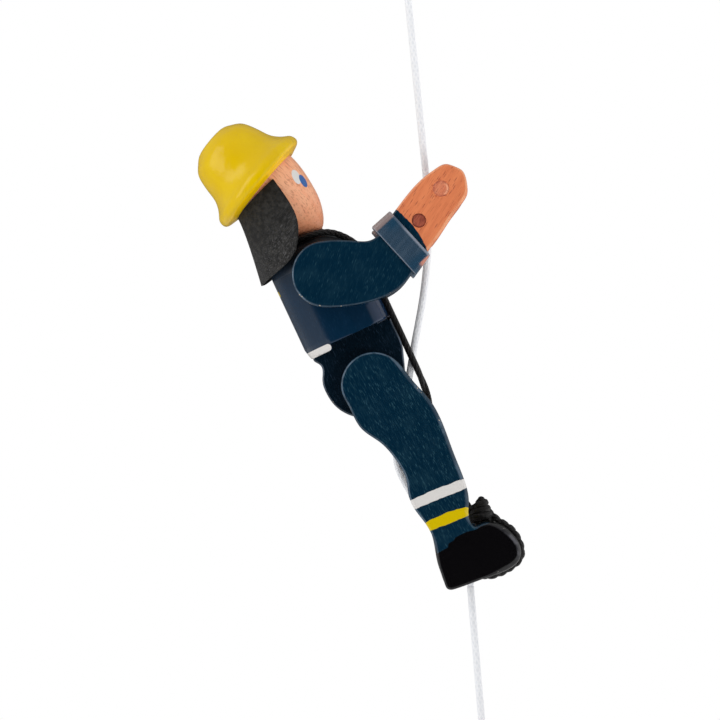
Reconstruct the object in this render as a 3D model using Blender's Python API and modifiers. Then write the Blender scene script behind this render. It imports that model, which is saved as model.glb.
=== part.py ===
"""A wooden climbing figure on a cord: turned body and head, sawn arms and legs, dowels and elastic.

The origin is the inside of the hanging loop. +X is where the figure faces, +Z is up,
and the figure's right side is at -Y. Lengths below are in millimetres, times MM.
"""

import math

import bmesh
import bpy
from mathutils import Matrix, Vector

MM = 0.001

# Clearances, and how far a cutter runs past a face
GAP = 0.3
CUT = 1.0
TURNED_STEPS = 36

# Cords
CORD_DIAMETER = 2.8
ELASTIC_DIAMETER = 2.5
CORD_LEAN = 5.8
TAIL_LEAN = 4.8

# Hanging loop and its knot, along the leaning cord
LOOP_REACH = 19.0
KNOT_RADIUS = 3.5
KNOT_HALF_LENGTH = 4.0

# Body frames, measured from the hanging point
SHOULDER_X = -29.84
SHOULDER_Z = -140.91
TORSO_LEAN = 25.0

# Torso, measured from the shoulder axle along the leaning body
TORSO_RADIUS = 18.1
TORSO_AXIS_X = -1.75
TORSO_DOME_BASE = 0.8
TORSO_DOME_HEIGHT = 14.4
TORSO_HEM_Z = -25.6
TORSO_HEM_ROUND = 2.0
TORSO_HALF_WIDTH = 15.5

# Pelvis, one piece with the torso
PELVIS_HALF_WIDTH = 8.0
PELVIS_ROOT = 5.0
PELVIS_EDGE = 0.6
PELVIS_DISC_RADIUS = 16.5
PELVIS_DISC_X = -2.96
PELVIS_DISC_Z = -42.85
HIP_X = -0.97
HIP_Z = -47.46

# Head and helmet, measured from the centre of the helmet's rim
HELMET_X = -7.8
HELMET_Z = 44.3
HEAD_LEAN = 25.2
HEAD_RADIUS = 15.9
HEAD_DROP = 30.4
HEAD_RISE = 13.8
HEAD_FORWARD = 0.35
HEAD_TAPER = 2.1
HEAD_FULLNESS = 0.56
HELMET_RIM_RADIUS = 22.4
HELMET_HEIGHT = 26.8

# Neck flap, down from the rim; its hem dips at the sides and its cheeks start lower
FLAP_THICKNESS = 0.8
FLAP_TOP = 1.6
FLAP_CHEEK = 1.3
FLAP_HEM = 27.6
FLAP_HEM_DIP = 2.4
FLAP_HEM_CORNER = 2.0
FLAP_FLARE = 12.6
FLAP_SIDE_FLARE = 0.42
FLAP_TOP_ANGLE = 105.0
FLAP_HEM_ANGLE = 56.0

# Boards
ARM_THICKNESS = 7.7
LEG_THICKNESS = 8.0
BOARD_EDGE = 0.8
SHOULDER_DISC_RADIUS = 13.0
HIP_DISC_RADIUS = 13.0

# The round ends of the boards and of the pelvis, from one angle round to the other
SHOULDER_ARC = (-88.0, -270.0)
HIP_ARC = (-140.0, -310.0)
PELVIS_ARC = (4.0, -196.0)

# Cuff
CUFF_LENGTH = 9.5
CUFF_WALL = 1.3
CUFF_CORNER = 0.7
CUFF_CENTRE_X = 30.4
CUFF_CENTRE_Z = 12.1
CUFF_TURN = 47.4
FOREARM_ANGLE = 54.3
FOREARM_HALF_WIDTH = 10.1

# Dowels and axles
AXLE_DIAMETER = 6.0
BLIND_WALL = 2.2
HAND_DOWEL_UPPER = (45.3, 33.4, 6.2)
HAND_DOWEL_LOWER = (36.7, 20.9, 5.5)
KNEE_DOWEL = (13.6, -31.0, 5.0)
ANKLE_DOWEL = (32.5, -67.4, 6.0)
NECK_DOWEL_DIAMETER = 5.0
NECK_DOWEL_TOP = 18.0
NECK_DOWEL_END = 45.0
NECK_BORE_TOP = 27.4

# Elastic: where its two strands leave the torso, and the knot on the instep
STRAND_START_X = 17.95
STRAND_SPREAD = 1.45
STRAND_BEND = 38.0
STRAND_CROSSING = 48.5
STRAND_PARTING = 9.0
STRAND_PLAIN = 57.0
STRAND_TURNS = 3
INSTEP_KNOT_X = 40.9
INSTEP_KNOT_Z = -50.4
INSTEP_KNOT_RADIUS = 4.4
INSTEP_KNOT_HALF_LENGTH = 4.8

# Toe block, measured from the hip axle
TOE_BLOCK_BACK = 43.1
TOE_BLOCK_EDGE = 0.3

# Pull ball at the cord's lower end
BALL_RADIUS = 7.0
BALL_DROP = 64.0
END_KNOT_RADIUS = 3.3
END_KNOT_HALF_LENGTH = 3.6

ARM_INNER = TORSO_HALF_WIDTH + GAP
ARM_OUTER = ARM_INNER + ARM_THICKNESS
LEG_INNER = PELVIS_HALF_WIDTH + GAP
LEG_OUTER = LEG_INNER + LEG_THICKNESS

# Outlines are (x, z) from the pivot. A third value marks a corner.
ARM_OUTLINE = [
    (11.7, 13.0),
    (17.6, 13.2),
    (20.1, 14.6),
    (23.6, 19.5),
    (27.1, 24.4),
    (38.5, 37.7),
    (43.2, 41.2),
    (47.6, 42.9),
    (52.6, 41.4),
    (55.5, 37.0),
    (55.4, 31.0),
    (51.0, 23.9),
    (45.7, 16.2),
    (40.7, 9.6),
    (37.2, 4.7),
    (33.7, -0.2),
    (30.8, -3.9),
    (26.6, -7.2),
    (17.6, -10.9),
    (8.5, -12.6),
]
LEG_OUTLINE = [
    (15.3, 1.7),
    (21.0, -5.4),
    (25.8, -13.8),
    (30.7, -26.4),
    (34.6, -36.2),
    (37.0, -46.0),
    (38.0, -54.0),
    (39.6, -55.8),
    (42.6, -54.9),
    (46.8, -54.5),
    (51.1, -55.9),
    (55.3, -59.5),
    (57.1, -65.1),
    (56.3, -69.2),
    (53.0, -72.2),
    (44.8, -75.6),
    (31.2, -80.7),
    (28.4, -79.8),
    (26.0, -72.6),
    (23.9, -62.0),
    (20.2, -54.5),
    (16.0, -48.9),
    (13.9, -44.0),
    (13.0, -37.4),
    (9.0, -29.2),
    (3.0, -22.3),
    (-4.4, -17.3),
]
PELVIS_OUTLINE = [
    (-18.9, -37.6),
    (-17.3, -34.4),
    (-16.8, -32.4),
    (-17.2, -31.0),
    (-18.7, -28.3),
    (-19.5, TORSO_HEM_Z, 1),
    (-13.0, TORSO_HEM_Z, 1),
    (-12.0, TORSO_HEM_Z + PELVIS_ROOT, 1),
    (10.0, TORSO_HEM_Z + PELVIS_ROOT, 1),
    (11.0, TORSO_HEM_Z, 1),
    (16.2, TORSO_HEM_Z, 1),
    (15.7, -34.4),
    (14.2, -40.4),
]
TOE_OUTLINE = [
    (TOE_BLOCK_BACK, -56.8, 1),
    (47.2, -54.9),
    (51.1, -56.0),
    (55.2, -59.6),
    (56.9, -65.1),
    (56.1, -69.1),
    (52.9, -72.0),
    (44.8, -75.4),
    (TOE_BLOCK_BACK, -76.0, 1),
]

# Turned profiles are (radius, height)
HELMET_PROFILE = [
    (0.0, 1.0),
    (3.2, 0.993),
    (8.0, 0.963),
    (10.4, 0.905),
    (13.3, 0.81),
    (15.1, 0.66),
    (16.2, 0.50),
    (17.0, 0.36),
    (18.4, 0.245),
    (20.4, 0.175),
    (21.9, 0.125),
    (HELMET_RIM_RADIUS, 0.07),
    (22.0, 0.02),
    (21.2, 0.0),
]

# Cord routes are (x, z) from the hanging point
CORD_IN_HANDS = [
    (10.28, -101.3),
    (10.48, -105.0),
    (10.48, -109.0),
    (11.0, -113.7),
    (11.4, -118.5),
    (11.35, -123.5),
    (11.1, -128.5),
    (10.85, -132.5),
]
CORD_MIDDLE = [
    (10.83, -132.8),
    (9.4, -146.5),
    (7.1, -163.5),
    (4.6, -180.5),
    (1.7, -196.5),
    (-0.87, -207.5),
]
CORD_IN_LEGS = [
    (-0.95, -207.8),
    (-1.92, -214.0),
    (-1.3, -219.1),
    (0.85, -224.0),
    (4.0, -228.8),
    (9.3, -235.0),
    (17.0, -241.4),
    (24.2, -246.7),
    (26.8, -252.0),
    (27.7, -258.5),
    (27.95, -264.45),
]
CORD_TAIL_START = (28.0, -265.1)

# The neck loop's route on one side, (x, y, z) from the shoulder axle along the body
NECK_LOOP = [
    (-8.3, 0.0, 17.5),
    (-6.4, 5.4, 17.5),
    (-1.6, 8.2, 17.2),
    (4.5, 7.3, 16.5),
    (9.3, 4.7, 14.6),
    (12.4, 3.1, 12.0),
    (14.7, 2.2, 9.2),
    (16.6, 1.7, 5.9),
    (17.8, STRAND_SPREAD, 2.5),
    (STRAND_START_X, STRAND_SPREAD, GAP / 2),
]
TOE_LOOP = [
    (INSTEP_KNOT_X + 5.5, INSTEP_KNOT_Z - 1.8),
    (52.2, -54.4),
    (56.9, -58.4),
    (58.8, -65.0),
    (57.7, -70.4),
    (53.8, -74.0),
    (46.6, -77.3),
    (42.6, -77.7),
    (41.4, -74.4),
    (41.4, -66.0),
    (41.4, -58.5),
    (INSTEP_KNOT_X + 0.6, INSTEP_KNOT_Z - 6.2),
]

NAVY = (0.0, 0.016, 0.045, 1.0)
BLACK = (0.006, 0.006, 0.007, 1.0)
BEECH = (0.78, 0.34, 0.16, 1.0)
YELLOW = (0.72, 0.50, 0.0, 1.0)
CUFF_BLUE = (0.03, 0.07, 0.13, 1.0)
WHITE = (0.78, 0.79, 0.80, 1.0)
RED = (0.45, 0.02, 0.015, 1.0)


def clear_scene():
    for obj in list(bpy.data.objects):
        bpy.data.objects.remove(obj)


def add_collection(name):
    collection = bpy.data.collections.new(name)
    bpy.context.scene.collection.children.link(collection)
    return collection


def add_material(name, colour, roughness):
    material = bpy.data.materials.new(name)
    material.use_nodes = True
    shader = material.node_tree.nodes["Principled BSDF"]
    shader.inputs["Base Color"].default_value = colour
    shader.inputs["Roughness"].default_value = roughness
    shader.inputs["Metallic"].default_value = 0.0
    return material


def add_frame(name, parent, x, z, lean):
    """An empty on a joint's axis, or where a leaning piece starts. lean tips it back, in degrees."""
    empty = bpy.data.objects.new(name, None)
    empty.empty_display_size = 5 * MM
    PARTS.objects.link(empty)
    empty.parent = parent
    empty.location = (x * MM, 0.0, z * MM)
    empty.rotation_euler = (0.0, math.radians(-lean), 0.0)
    return empty


def place(obj, frame, look, collection=None):
    """Puts a new object in its collection, under its frame, with a material of its own."""
    for old in list(obj.users_collection):
        old.objects.unlink(obj)
    (collection or PARTS).objects.link(obj)
    obj.parent = frame
    if look:
        colour, roughness = look
        obj.data.materials.clear()
        obj.data.materials.append(add_material(obj.name, colour, roughness))
    if obj.type == "MESH":
        obj.data.shade_smooth()
        obj.data.set_sharp_from_angle(angle=math.radians(35))
    return obj


def smooth_route(points, steps):
    """A curve through all the points, with this many steps from each to the next."""
    ends = [2 * points[0] - points[1]] + points + [2 * points[-1] - points[-2]]
    route = []
    for a, b, c, d in zip(ends, ends[1:], ends[2:], ends[3:]):
        for step in range(steps):
            t = step / steps
            square = 2 * a - 5 * b + 4 * c - d
            cube = 3 * b - a - 3 * c + d
            route.append(b + ((c - a) * t + square * t**2 + cube * t**3) / 2)
    return route + [points[-1]]


def in_plane(points):
    return [Vector((x, 0.0, z)) for x, z in points]


def add_tube(name, route, diameter, frame, look, resolution=2):
    """A round cord along the route, in millimetres from its frame, with flat closed ends."""
    curve = bpy.data.curves.new(name, "CURVE")
    curve.dimensions = "3D"
    curve.bevel_depth = diameter / 2 * MM
    curve.bevel_resolution = resolution
    curve.use_fill_caps = True
    spline = curve.splines.new("POLY")
    spline.points.add(len(route) - 1)
    for point, place_mm in zip(spline.points, route):
        point.co = (*(place_mm * MM), 1.0)
    return place(bpy.data.objects.new(name, curve), frame, look)


def add_outline(name, outlines, half_thickness, edge):
    """A 2D curve of closed outlines, filled and extruded, with its edges rounded inwards."""
    curve = bpy.data.curves.new(name, "CURVE")
    curve.dimensions = "2D"
    curve.fill_mode = "BOTH"
    curve.resolution_u = 2
    curve.extrude = (half_thickness - edge) * MM
    curve.bevel_depth = edge * MM
    curve.bevel_resolution = 0
    curve.offset = -edge * MM
    for outline in outlines:
        spline = curve.splines.new("BEZIER")
        spline.use_cyclic_u = True
        spline.bezier_points.add(len(outline) - 1)
        for point, spot in zip(spline.bezier_points, outline):
            kind = "VECTOR" if len(spot) > 2 else "AUTO"
            point.handle_left_type = kind
            point.handle_right_type = kind
            point.co = (spot[0] * MM, spot[1] * MM, 0.0)
    return bpy.data.objects.new(name, curve)


def to_mesh_object(obj, name, weld=0.002):
    """The same shape as a mesh with its caps joined on; the curve is removed."""
    bpy.context.scene.collection.objects.link(obj)
    graph = bpy.context.evaluated_depsgraph_get()
    mesh = bpy.data.meshes.new_from_object(obj.evaluated_get(graph))
    bpy.data.objects.remove(obj)
    shape = bmesh.new()
    shape.from_mesh(mesh)
    bmesh.ops.remove_doubles(shape, verts=shape.verts, dist=weld * MM)
    bmesh.ops.recalc_face_normals(shape, faces=shape.faces)
    shape.to_mesh(mesh)
    shape.free()
    mesh.name = name
    return bpy.data.objects.new(name, mesh)


def add_board(name, outline, middle, half_thickness, frame, look, edge=BOARD_EDGE):
    """A flat board standing in the XZ plane, its middle this far along Y."""
    board = to_mesh_object(add_outline(name + "_outline", [outline], half_thickness, edge), name)
    board.data.transform(Matrix.Rotation(math.radians(90), 4, "X"))
    board.data.transform(Matrix.Translation((0.0, middle * MM, 0.0)))
    return place(board, frame, look)


def add_turned(name, profile, frame, look, steps=TURNED_STEPS, collection=None):
    """A turned piece: the profile, from the top down its outer side, swept round local Z."""
    mesh = bpy.data.meshes.new(name)
    points = [(radius * MM, 0.0, height * MM) for radius, height in profile]
    mesh.from_pydata(points, [(i, i + 1) for i in range(len(points) - 1)], [])
    turned = bpy.data.objects.new(name, mesh)
    screw = turned.modifiers.new("turned", "SCREW")
    screw.steps = steps
    screw.render_steps = steps
    screw.use_merge_vertices = True
    screw.merge_threshold = 0.00001
    screw.use_normal_calculate = False
    place(turned, frame, look, collection)
    return turned


def add_rod(name, diameter, low, high, frame, look, x=0.0, z=0.0, along="Y", collection=None):
    """A round rod from low to high along Y, or along its frame's Z."""
    shape = bmesh.new()
    turn = Matrix.Rotation(math.radians(90), 4, "X") if along == "Y" else Matrix.Identity(4)
    middle = (low + high) / 2
    spot = Vector((x, middle, z)) if along == "Y" else Vector((x, 0.0, middle))
    bmesh.ops.create_cone(
        shape,
        cap_ends=True,
        segments=24,
        radius1=diameter / 2 * MM,
        radius2=diameter / 2 * MM,
        depth=(high - low) * MM,
        matrix=Matrix.Translation(spot * MM) @ turn,
    )
    mesh = bpy.data.meshes.new(name)
    shape.to_mesh(mesh)
    shape.free()
    return place(bpy.data.objects.new(name, mesh), frame, look, collection)


def add_box(name, low, high, frame):
    """A box cutter between two corners in millimetres."""
    shape = bmesh.new()
    size = [(b - a) * MM for a, b in zip(low, high)]
    middle = [(a + b) / 2 * MM for a, b in zip(low, high)]
    matrix = Matrix.Translation(middle) @ Matrix.Diagonal((*size, 1.0))
    bmesh.ops.create_cube(shape, size=1.0, matrix=matrix)
    mesh = bpy.data.meshes.new(name)
    shape.to_mesh(mesh)
    shape.free()
    return as_cutter(place(bpy.data.objects.new(name, mesh), frame, None, CUTTERS))


def as_cutter(obj):
    obj.hide_render = True
    obj.display_type = "WIRE"
    return obj


def combine(obj, cutter, operation="DIFFERENCE"):
    modifier = obj.modifiers.new(operation.lower(), "BOOLEAN")
    modifier.operation = operation
    modifier.object = cutter
    modifier.solver = "EXACT"


def bore(obj, diameter, low, high, x=0.0, z=0.0, along="Y", frame=None):
    """Cuts a round hole with the running gap round a rod of this diameter."""
    name = obj.name + "_bore_" + str(len(obj.modifiers))
    size = diameter + 2 * GAP
    rod = add_rod(name, size, low, high, frame or obj.parent, None, x, z, along, CUTTERS)
    combine(obj, as_cutter(rod))


def disc_outline(points, radius, angles, count, x=0.0, z=0.0):
    """The points, and then an arc about (x, z) from the first angle to the last."""
    first, last = angles
    arc = []
    for step in range(count + 1):
        angle = math.radians(first + (last - first) * step / count)
        arc.append((x + radius * math.cos(angle), z + radius * math.sin(angle)))
    return points + arc


def torso_profile():
    """A domed cylinder whose lower edge is turned in."""
    dome = []
    for step in range(7):
        angle = math.radians(90 - 90 * step / 6)
        height = TORSO_DOME_BASE + TORSO_DOME_HEIGHT * math.sin(angle)
        dome.append((TORSO_RADIUS * math.cos(angle), height))
    dome[0] = (0.0, TORSO_DOME_BASE + TORSO_DOME_HEIGHT)
    hem = []
    for step in range(4):
        angle = math.radians(30 * step)
        radius = TORSO_RADIUS - TORSO_HEM_ROUND / 2 * (1 - math.cos(angle))
        hem.append((radius, TORSO_HEM_Z + TORSO_HEM_ROUND * (1 - math.sin(angle))))
    return dome + hem + [(0.0, TORSO_HEM_Z)]


def add_torso(frame, look):
    """Turned body, flattened at the shoulders, with the pelvis tongue below it."""
    axis = add_frame("torso_axis", frame, TORSO_AXIS_X, 0.0, 0.0)
    torso = add_turned("torso", torso_profile(), axis, look)
    wide = 2 * TORSO_RADIUS
    slab_low = (-wide, -TORSO_HALF_WIDTH, TORSO_HEM_Z - CUT)
    slab_high = (wide, TORSO_HALF_WIDTH, TORSO_DOME_BASE + TORSO_DOME_HEIGHT + CUT)
    combine(torso, add_box("torso_flats", slab_low, slab_high, frame), "INTERSECT")
    disc = (PELVIS_DISC_RADIUS, PELVIS_ARC, 12, PELVIS_DISC_X, PELVIS_DISC_Z)
    outline = disc_outline(PELVIS_OUTLINE, *disc)
    pelvis = add_board("pelvis_form", outline, 0.0, PELVIS_HALF_WIDTH, frame, None, PELVIS_EDGE)
    CUTTERS.objects.link(pelvis)
    PARTS.objects.unlink(pelvis)
    combine(torso, as_cutter(pelvis), "UNION")
    reach = TORSO_HALF_WIDTH + CUT
    bore(torso, AXLE_DIAMETER, -reach, reach, frame=frame)
    bore(torso, AXLE_DIAMETER, -reach, reach, HIP_X, HIP_Z, frame=frame)
    return torso


def head_profile():
    """An egg, pointed below, whose top half is inside the helmet."""
    profile = []
    for step in range(5):
        angle = math.radians(90 - 90 * step / 4)
        profile.append((HEAD_RADIUS * math.cos(angle), HEAD_RISE * math.sin(angle)))
    profile[0] = (0.0, HEAD_RISE)
    for step in range(1, 10):
        depth = math.sin(math.radians(90 * step / 9))
        radius = HEAD_RADIUS * (1 - depth**HEAD_TAPER) ** HEAD_FULLNESS
        profile.append((radius, -HEAD_DROP * depth))
    profile[-1] = (0.0, -HEAD_DROP)
    return profile


def add_head(frame, look):
    axis = add_frame("head_axis", frame, HEAD_FORWARD, 0.0, 0.0)
    head = add_turned("head", head_profile(), axis, look)
    bore(head, NECK_DOWEL_DIAMETER, -NECK_DOWEL_END, -NECK_DOWEL_TOP + GAP, along="Z")
    return head, axis


def add_helmet(frame, head_axis, look):
    profile = [(radius, share * HELMET_HEIGHT) for radius, share in HELMET_PROFILE]
    helmet = add_turned("helmet", profile + [(0.0, 0.0)], frame, look)
    hollow = [(0.0, HEAD_RISE + GAP)]
    for step in range(1, 5):
        angle = math.radians(90 - 90 * step / 4)
        hollow.append(((HEAD_RADIUS + GAP) * math.cos(angle), (HEAD_RISE + GAP) * math.sin(angle)))
    hollow += [(HEAD_RADIUS + GAP, -CUT), (0.0, -CUT)]
    cutter = add_turned("helmet_hollow", hollow, head_axis, None, collection=CUTTERS)
    combine(helmet, as_cutter(cutter))
    return helmet


def flap_point(across, down):
    """A place on the flap: across is -1 to 1 round the head from side to side, down is 0 to 1."""
    half_angle = FLAP_TOP_ANGLE + (FLAP_HEM_ANGLE - FLAP_TOP_ANGLE) * down**1.7
    angle = math.radians(half_angle) * across
    top = FLAP_TOP + FLAP_CHEEK * across**4
    hem = FLAP_HEM + FLAP_HEM_DIP * across**2 * (1 - across**2) - FLAP_HEM_CORNER * across**8
    depth = top + (hem - top) * down
    hug = HEAD_RADIUS + GAP + FLAP_THICKNESS / 2
    share = FLAP_SIDE_FLARE + (1 - FLAP_SIDE_FLARE) * math.cos(angle) ** 2
    radius = hug + FLAP_FLARE * down**1.25 * share
    return Vector((-radius * math.cos(angle), radius * math.sin(angle), -depth)) * MM


def add_flap(head_axis, look):
    """The neck flap: a grid wrapped round the back of the head, then given its thickness."""
    shape = bmesh.new()
    bmesh.ops.create_grid(shape, x_segments=20, y_segments=6, size=1.0)
    for vertex in shape.verts:
        vertex.co = flap_point(vertex.co.x, (1 - vertex.co.y) / 2)
    mesh = bpy.data.meshes.new("neck_flap")
    shape.to_mesh(mesh)
    shape.free()
    flap = place(bpy.data.objects.new("neck_flap", mesh), head_axis, look)
    wall = flap.modifiers.new("thickness", "SOLIDIFY")
    wall.thickness = FLAP_THICKNESS * MM
    wall.offset = 0.0
    wall.use_even_offset = True
    return flap


def cuff_ring(half_wide, half_thick, corner):
    ring = []
    for turn, sign_x, sign_y in ((0, 1, 1), (90, -1, 1), (180, -1, -1), (270, 1, -1)):
        for step in range(3):
            angle = math.radians(turn + 45 * step)
            x = sign_x * (half_wide - corner) + corner * math.cos(angle)
            ring.append((x, sign_y * (half_thick - corner) + corner * math.sin(angle), 1))
    return ring


def add_cuff(name, side, frame, look):
    """A band wrapped round the forearm, slanted as the forearm passes through it."""
    half_wide = FOREARM_HALF_WIDTH + GAP
    half_thick = ARM_THICKNESS / 2 + GAP
    inner = cuff_ring(half_wide, half_thick, CUFF_CORNER)
    outer = cuff_ring(half_wide + CUFF_WALL, half_thick + CUFF_WALL, CUFF_CORNER + CUFF_WALL)
    ring = add_outline(name + "_outline", [outer, inner], CUFF_LENGTH / 2, 0.0)
    cuff = to_mesh_object(ring, name)
    skew = math.tan(math.radians(FOREARM_ANGLE + CUFF_TURN - 90))
    shear = Matrix.Identity(4)
    shear[0][2] = -skew
    cuff.data.transform(shear)
    cuff.data.transform(Matrix.Rotation(math.radians(CUFF_TURN), 4, "Y"))
    middle = side * (ARM_INNER + ARM_OUTER) / 2
    spot = Vector((CUFF_CENTRE_X, middle, CUFF_CENTRE_Z)) * MM
    cuff.data.transform(Matrix.Translation(spot))
    return place(cuff, frame, look)


def add_arm(name, side, frame, look):
    outline = disc_outline(ARM_OUTLINE, SHOULDER_DISC_RADIUS, SHOULDER_ARC, 7)
    middle = side * (ARM_INNER + ARM_OUTER) / 2
    arm = add_board(name, outline, middle, ARM_THICKNESS / 2, frame, look)
    blind = sorted((side * (ARM_INNER - CUT), side * (ARM_OUTER - BLIND_WALL + GAP)))
    bore(arm, AXLE_DIAMETER, *blind)
    through = sorted((side * (ARM_INNER - CUT), side * (ARM_OUTER + CUT)))
    for x, z, diameter in (HAND_DOWEL_UPPER, HAND_DOWEL_LOWER):
        bore(arm, diameter, *through, x, z)
    return arm


def add_leg(name, side, frame, look):
    outline = disc_outline(LEG_OUTLINE, HIP_DISC_RADIUS, HIP_ARC, 6)
    middle = side * (LEG_INNER + LEG_OUTER) / 2
    leg = add_board(name, outline, middle, LEG_THICKNESS / 2, frame, look)
    blind = sorted((side * (LEG_INNER - CUT), side * (LEG_OUTER - BLIND_WALL + GAP)))
    bore(leg, AXLE_DIAMETER, *blind)
    for x, z, diameter in (KNEE_DOWEL, ANKLE_DOWEL):
        bore(leg, diameter, *blind, x, z)
    return leg


def add_neck_loop(frame, look):
    right = [Vector((x, -y, z)) for x, y, z in NECK_LOOP]
    left = [Vector(spot) for spot in NECK_LOOP]
    route = smooth_route(right[:0:-1] + left, 2)
    return add_tube("elastic_neck_loop", route, ELASTIC_DIAMETER, frame, look, resolution=1)


def strand_route(side, length, end_x):
    """Side by side down the body, either side of the cord that they cross, then twisted."""
    parted = (CORD_DIAMETER + ELASTIC_DIAMETER) / 2 + GAP - STRAND_SPREAD
    route = []
    steps = 40
    for step in range(steps + 1):
        down = length * step / steps
        twist = max(0.0, (down - STRAND_PLAIN) / (length - STRAND_PLAIN))
        angle = math.pi * STRAND_TURNS * twist
        leaning = max(0.0, down - STRAND_BEND) / (length - STRAND_BEND)
        x = end_x * leaning + side * STRAND_SPREAD * math.sin(angle)
        spread = STRAND_SPREAD + parted * math.exp(-(((down - STRAND_CROSSING) / STRAND_PARTING) ** 2))
        route.append(Vector((x, side * spread * math.cos(angle), -down - GAP / 2)))
    return route


def add_lump(name, radius, half_length, frame, look, x=0.0, z=0.0, lean=0.0):
    """A knot's round body, its ends drawn in."""
    holder = add_frame(name + "_axis", frame, x, z, lean)
    profile = []
    for step in range(9):
        angle = math.radians(90 - 180 * step / 8)
        waist = 1 - 0.12 * math.cos(4 * angle)
        profile.append((radius * math.cos(angle) * waist, half_length * math.sin(angle)))
    profile[0] = (0.0, half_length)
    profile[-1] = (0.0, -half_length)
    return add_turned(name, profile, holder, look, 16)


def add_cord_end(frame, look_cord, look_ball):
    """The cord below the feet, the ball on it and the knot that stops the ball."""
    knot_middle = BALL_DROP + BALL_RADIUS + GAP + END_KNOT_HALF_LENGTH
    length = knot_middle - END_KNOT_HALF_LENGTH - GAP
    steps = 12
    route = [Vector((0.0, 0.0, -length * step / steps)) for step in range(steps + 1)]
    add_tube("cord_lower", route, CORD_DIAMETER, frame, look_cord)
    profile = []
    for step in range(13):
        angle = math.radians(90 - 180 * step / 12)
        profile.append((BALL_RADIUS * math.cos(angle), -BALL_DROP + BALL_RADIUS * math.sin(angle)))
    profile[0] = (0.0, -BALL_DROP + BALL_RADIUS)
    profile[-1] = (0.0, -BALL_DROP - BALL_RADIUS)
    ball = add_turned("pull_ball", profile, frame, look_ball, 20)
    reach = BALL_RADIUS + CUT
    bore(ball, CORD_DIAMETER, -BALL_DROP - reach, -BALL_DROP + reach, along="Z")
    add_lump("end_knot", END_KNOT_RADIUS, END_KNOT_HALF_LENGTH, frame, look_cord, 0.0, -knot_middle)


def add_hanging_loop(frame, look):
    half = [
        (1.75, -LOOP_REACH),
        (2.9, -0.79 * LOOP_REACH),
        (5.2, -0.53 * LOOP_REACH),
        (6.0, -0.24 * LOOP_REACH),
        (4.25, -0.36),
        (0.0, CORD_DIAMETER / 2),
    ]
    left = [Vector((-x, 0.0, z)) for x, z in half]
    right = [Vector((x, 0.0, z)) for x, z in half]
    route = smooth_route(left[:-1] + right[::-1], 3)
    add_tube("hanging_loop", route, CORD_DIAMETER, frame, look)
    knot_z = -LOOP_REACH - GAP - KNOT_HALF_LENGTH
    add_lump("loop_knot", KNOT_RADIUS, KNOT_HALF_LENGTH, frame, look, 0.0, knot_z)
    top = knot_z - KNOT_HALF_LENGTH - GAP
    bottom = -math.hypot(*CORD_IN_HANDS[0]) + GAP
    steps = 10
    route = [Vector((0.0, 0.0, top + (bottom - top) * step / steps)) for step in range(steps + 1)]
    add_tube("cord_upper", route, CORD_DIAMETER, frame, look)


def relative(points, origin):
    return in_plane([(x - origin[0], z - origin[1]) for x, z in points])


def from_leaning(x, z):
    """A place on the leaning body, seen from the shoulder axle along the upright axes."""
    lean = math.radians(TORSO_LEAN)
    return x * math.cos(lean) - z * math.sin(lean), x * math.sin(lean) + z * math.cos(lean)


def add_elastic(torso_frame, legs_frame, look):
    add_neck_loop(torso_frame, look)
    run = add_frame("elastic_frame", torso_frame, STRAND_START_X, 0.0, 0.0)
    lean = math.radians(TORSO_LEAN)
    knot_x = HIP_X + INSTEP_KNOT_X * math.cos(lean) + INSTEP_KNOT_Z * math.sin(lean)
    knot_z = HIP_Z - INSTEP_KNOT_X * math.sin(lean) + INSTEP_KNOT_Z * math.cos(lean)
    length = -knot_z - INSTEP_KNOT_HALF_LENGTH - GAP
    for name, side in (("elastic_strand_right", -1), ("elastic_strand_left", 1)):
        route = strand_route(side, length, knot_x - STRAND_START_X)
        add_tube(name, route, ELASTIC_DIAMETER, run, look, resolution=1)
    add_lump(
        "elastic_knot",
        INSTEP_KNOT_RADIUS,
        INSTEP_KNOT_HALF_LENGTH,
        legs_frame,
        look,
        INSTEP_KNOT_X,
        INSTEP_KNOT_Z,
        TORSO_LEAN,
    )
    add_tube("elastic_toe_loop", smooth_route(in_plane(TOE_LOOP), 2), ELASTIC_DIAMETER, legs_frame, look)


def add_threaded_cord(arms_frame, legs_frame, look):
    """The cord through the hands, behind the knees and out in front of the heels."""
    shoulder = (SHOULDER_X, SHOULDER_Z)
    in_hands = smooth_route(relative(CORD_IN_HANDS, shoulder), 2)
    add_tube("cord_in_hands", in_hands, CORD_DIAMETER, arms_frame, look)
    start_x, start_z = CORD_MIDDLE[0]
    run = add_frame("cord_run_frame", arms_frame, start_x - SHOULDER_X, start_z - SHOULDER_Z, 0.0)
    middle = smooth_route(relative(CORD_MIDDLE, CORD_MIDDLE[0]), 3)
    add_tube("cord_middle", middle, CORD_DIAMETER, run, look)
    hip_x, hip_z = from_leaning(HIP_X, HIP_Z)
    hip = (SHOULDER_X + hip_x, SHOULDER_Z + hip_z)
    in_legs = smooth_route(relative(CORD_IN_LEGS, hip), 2)
    add_tube("cord_in_legs", in_legs, CORD_DIAMETER, legs_frame, look)
    tail_x, tail_z = CORD_TAIL_START
    tail = add_frame("cord_tail_frame", legs_frame, tail_x - hip[0], tail_z - hip[1], TAIL_LEAN)
    add_cord_end(tail, look, (RED, 0.2))


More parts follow.
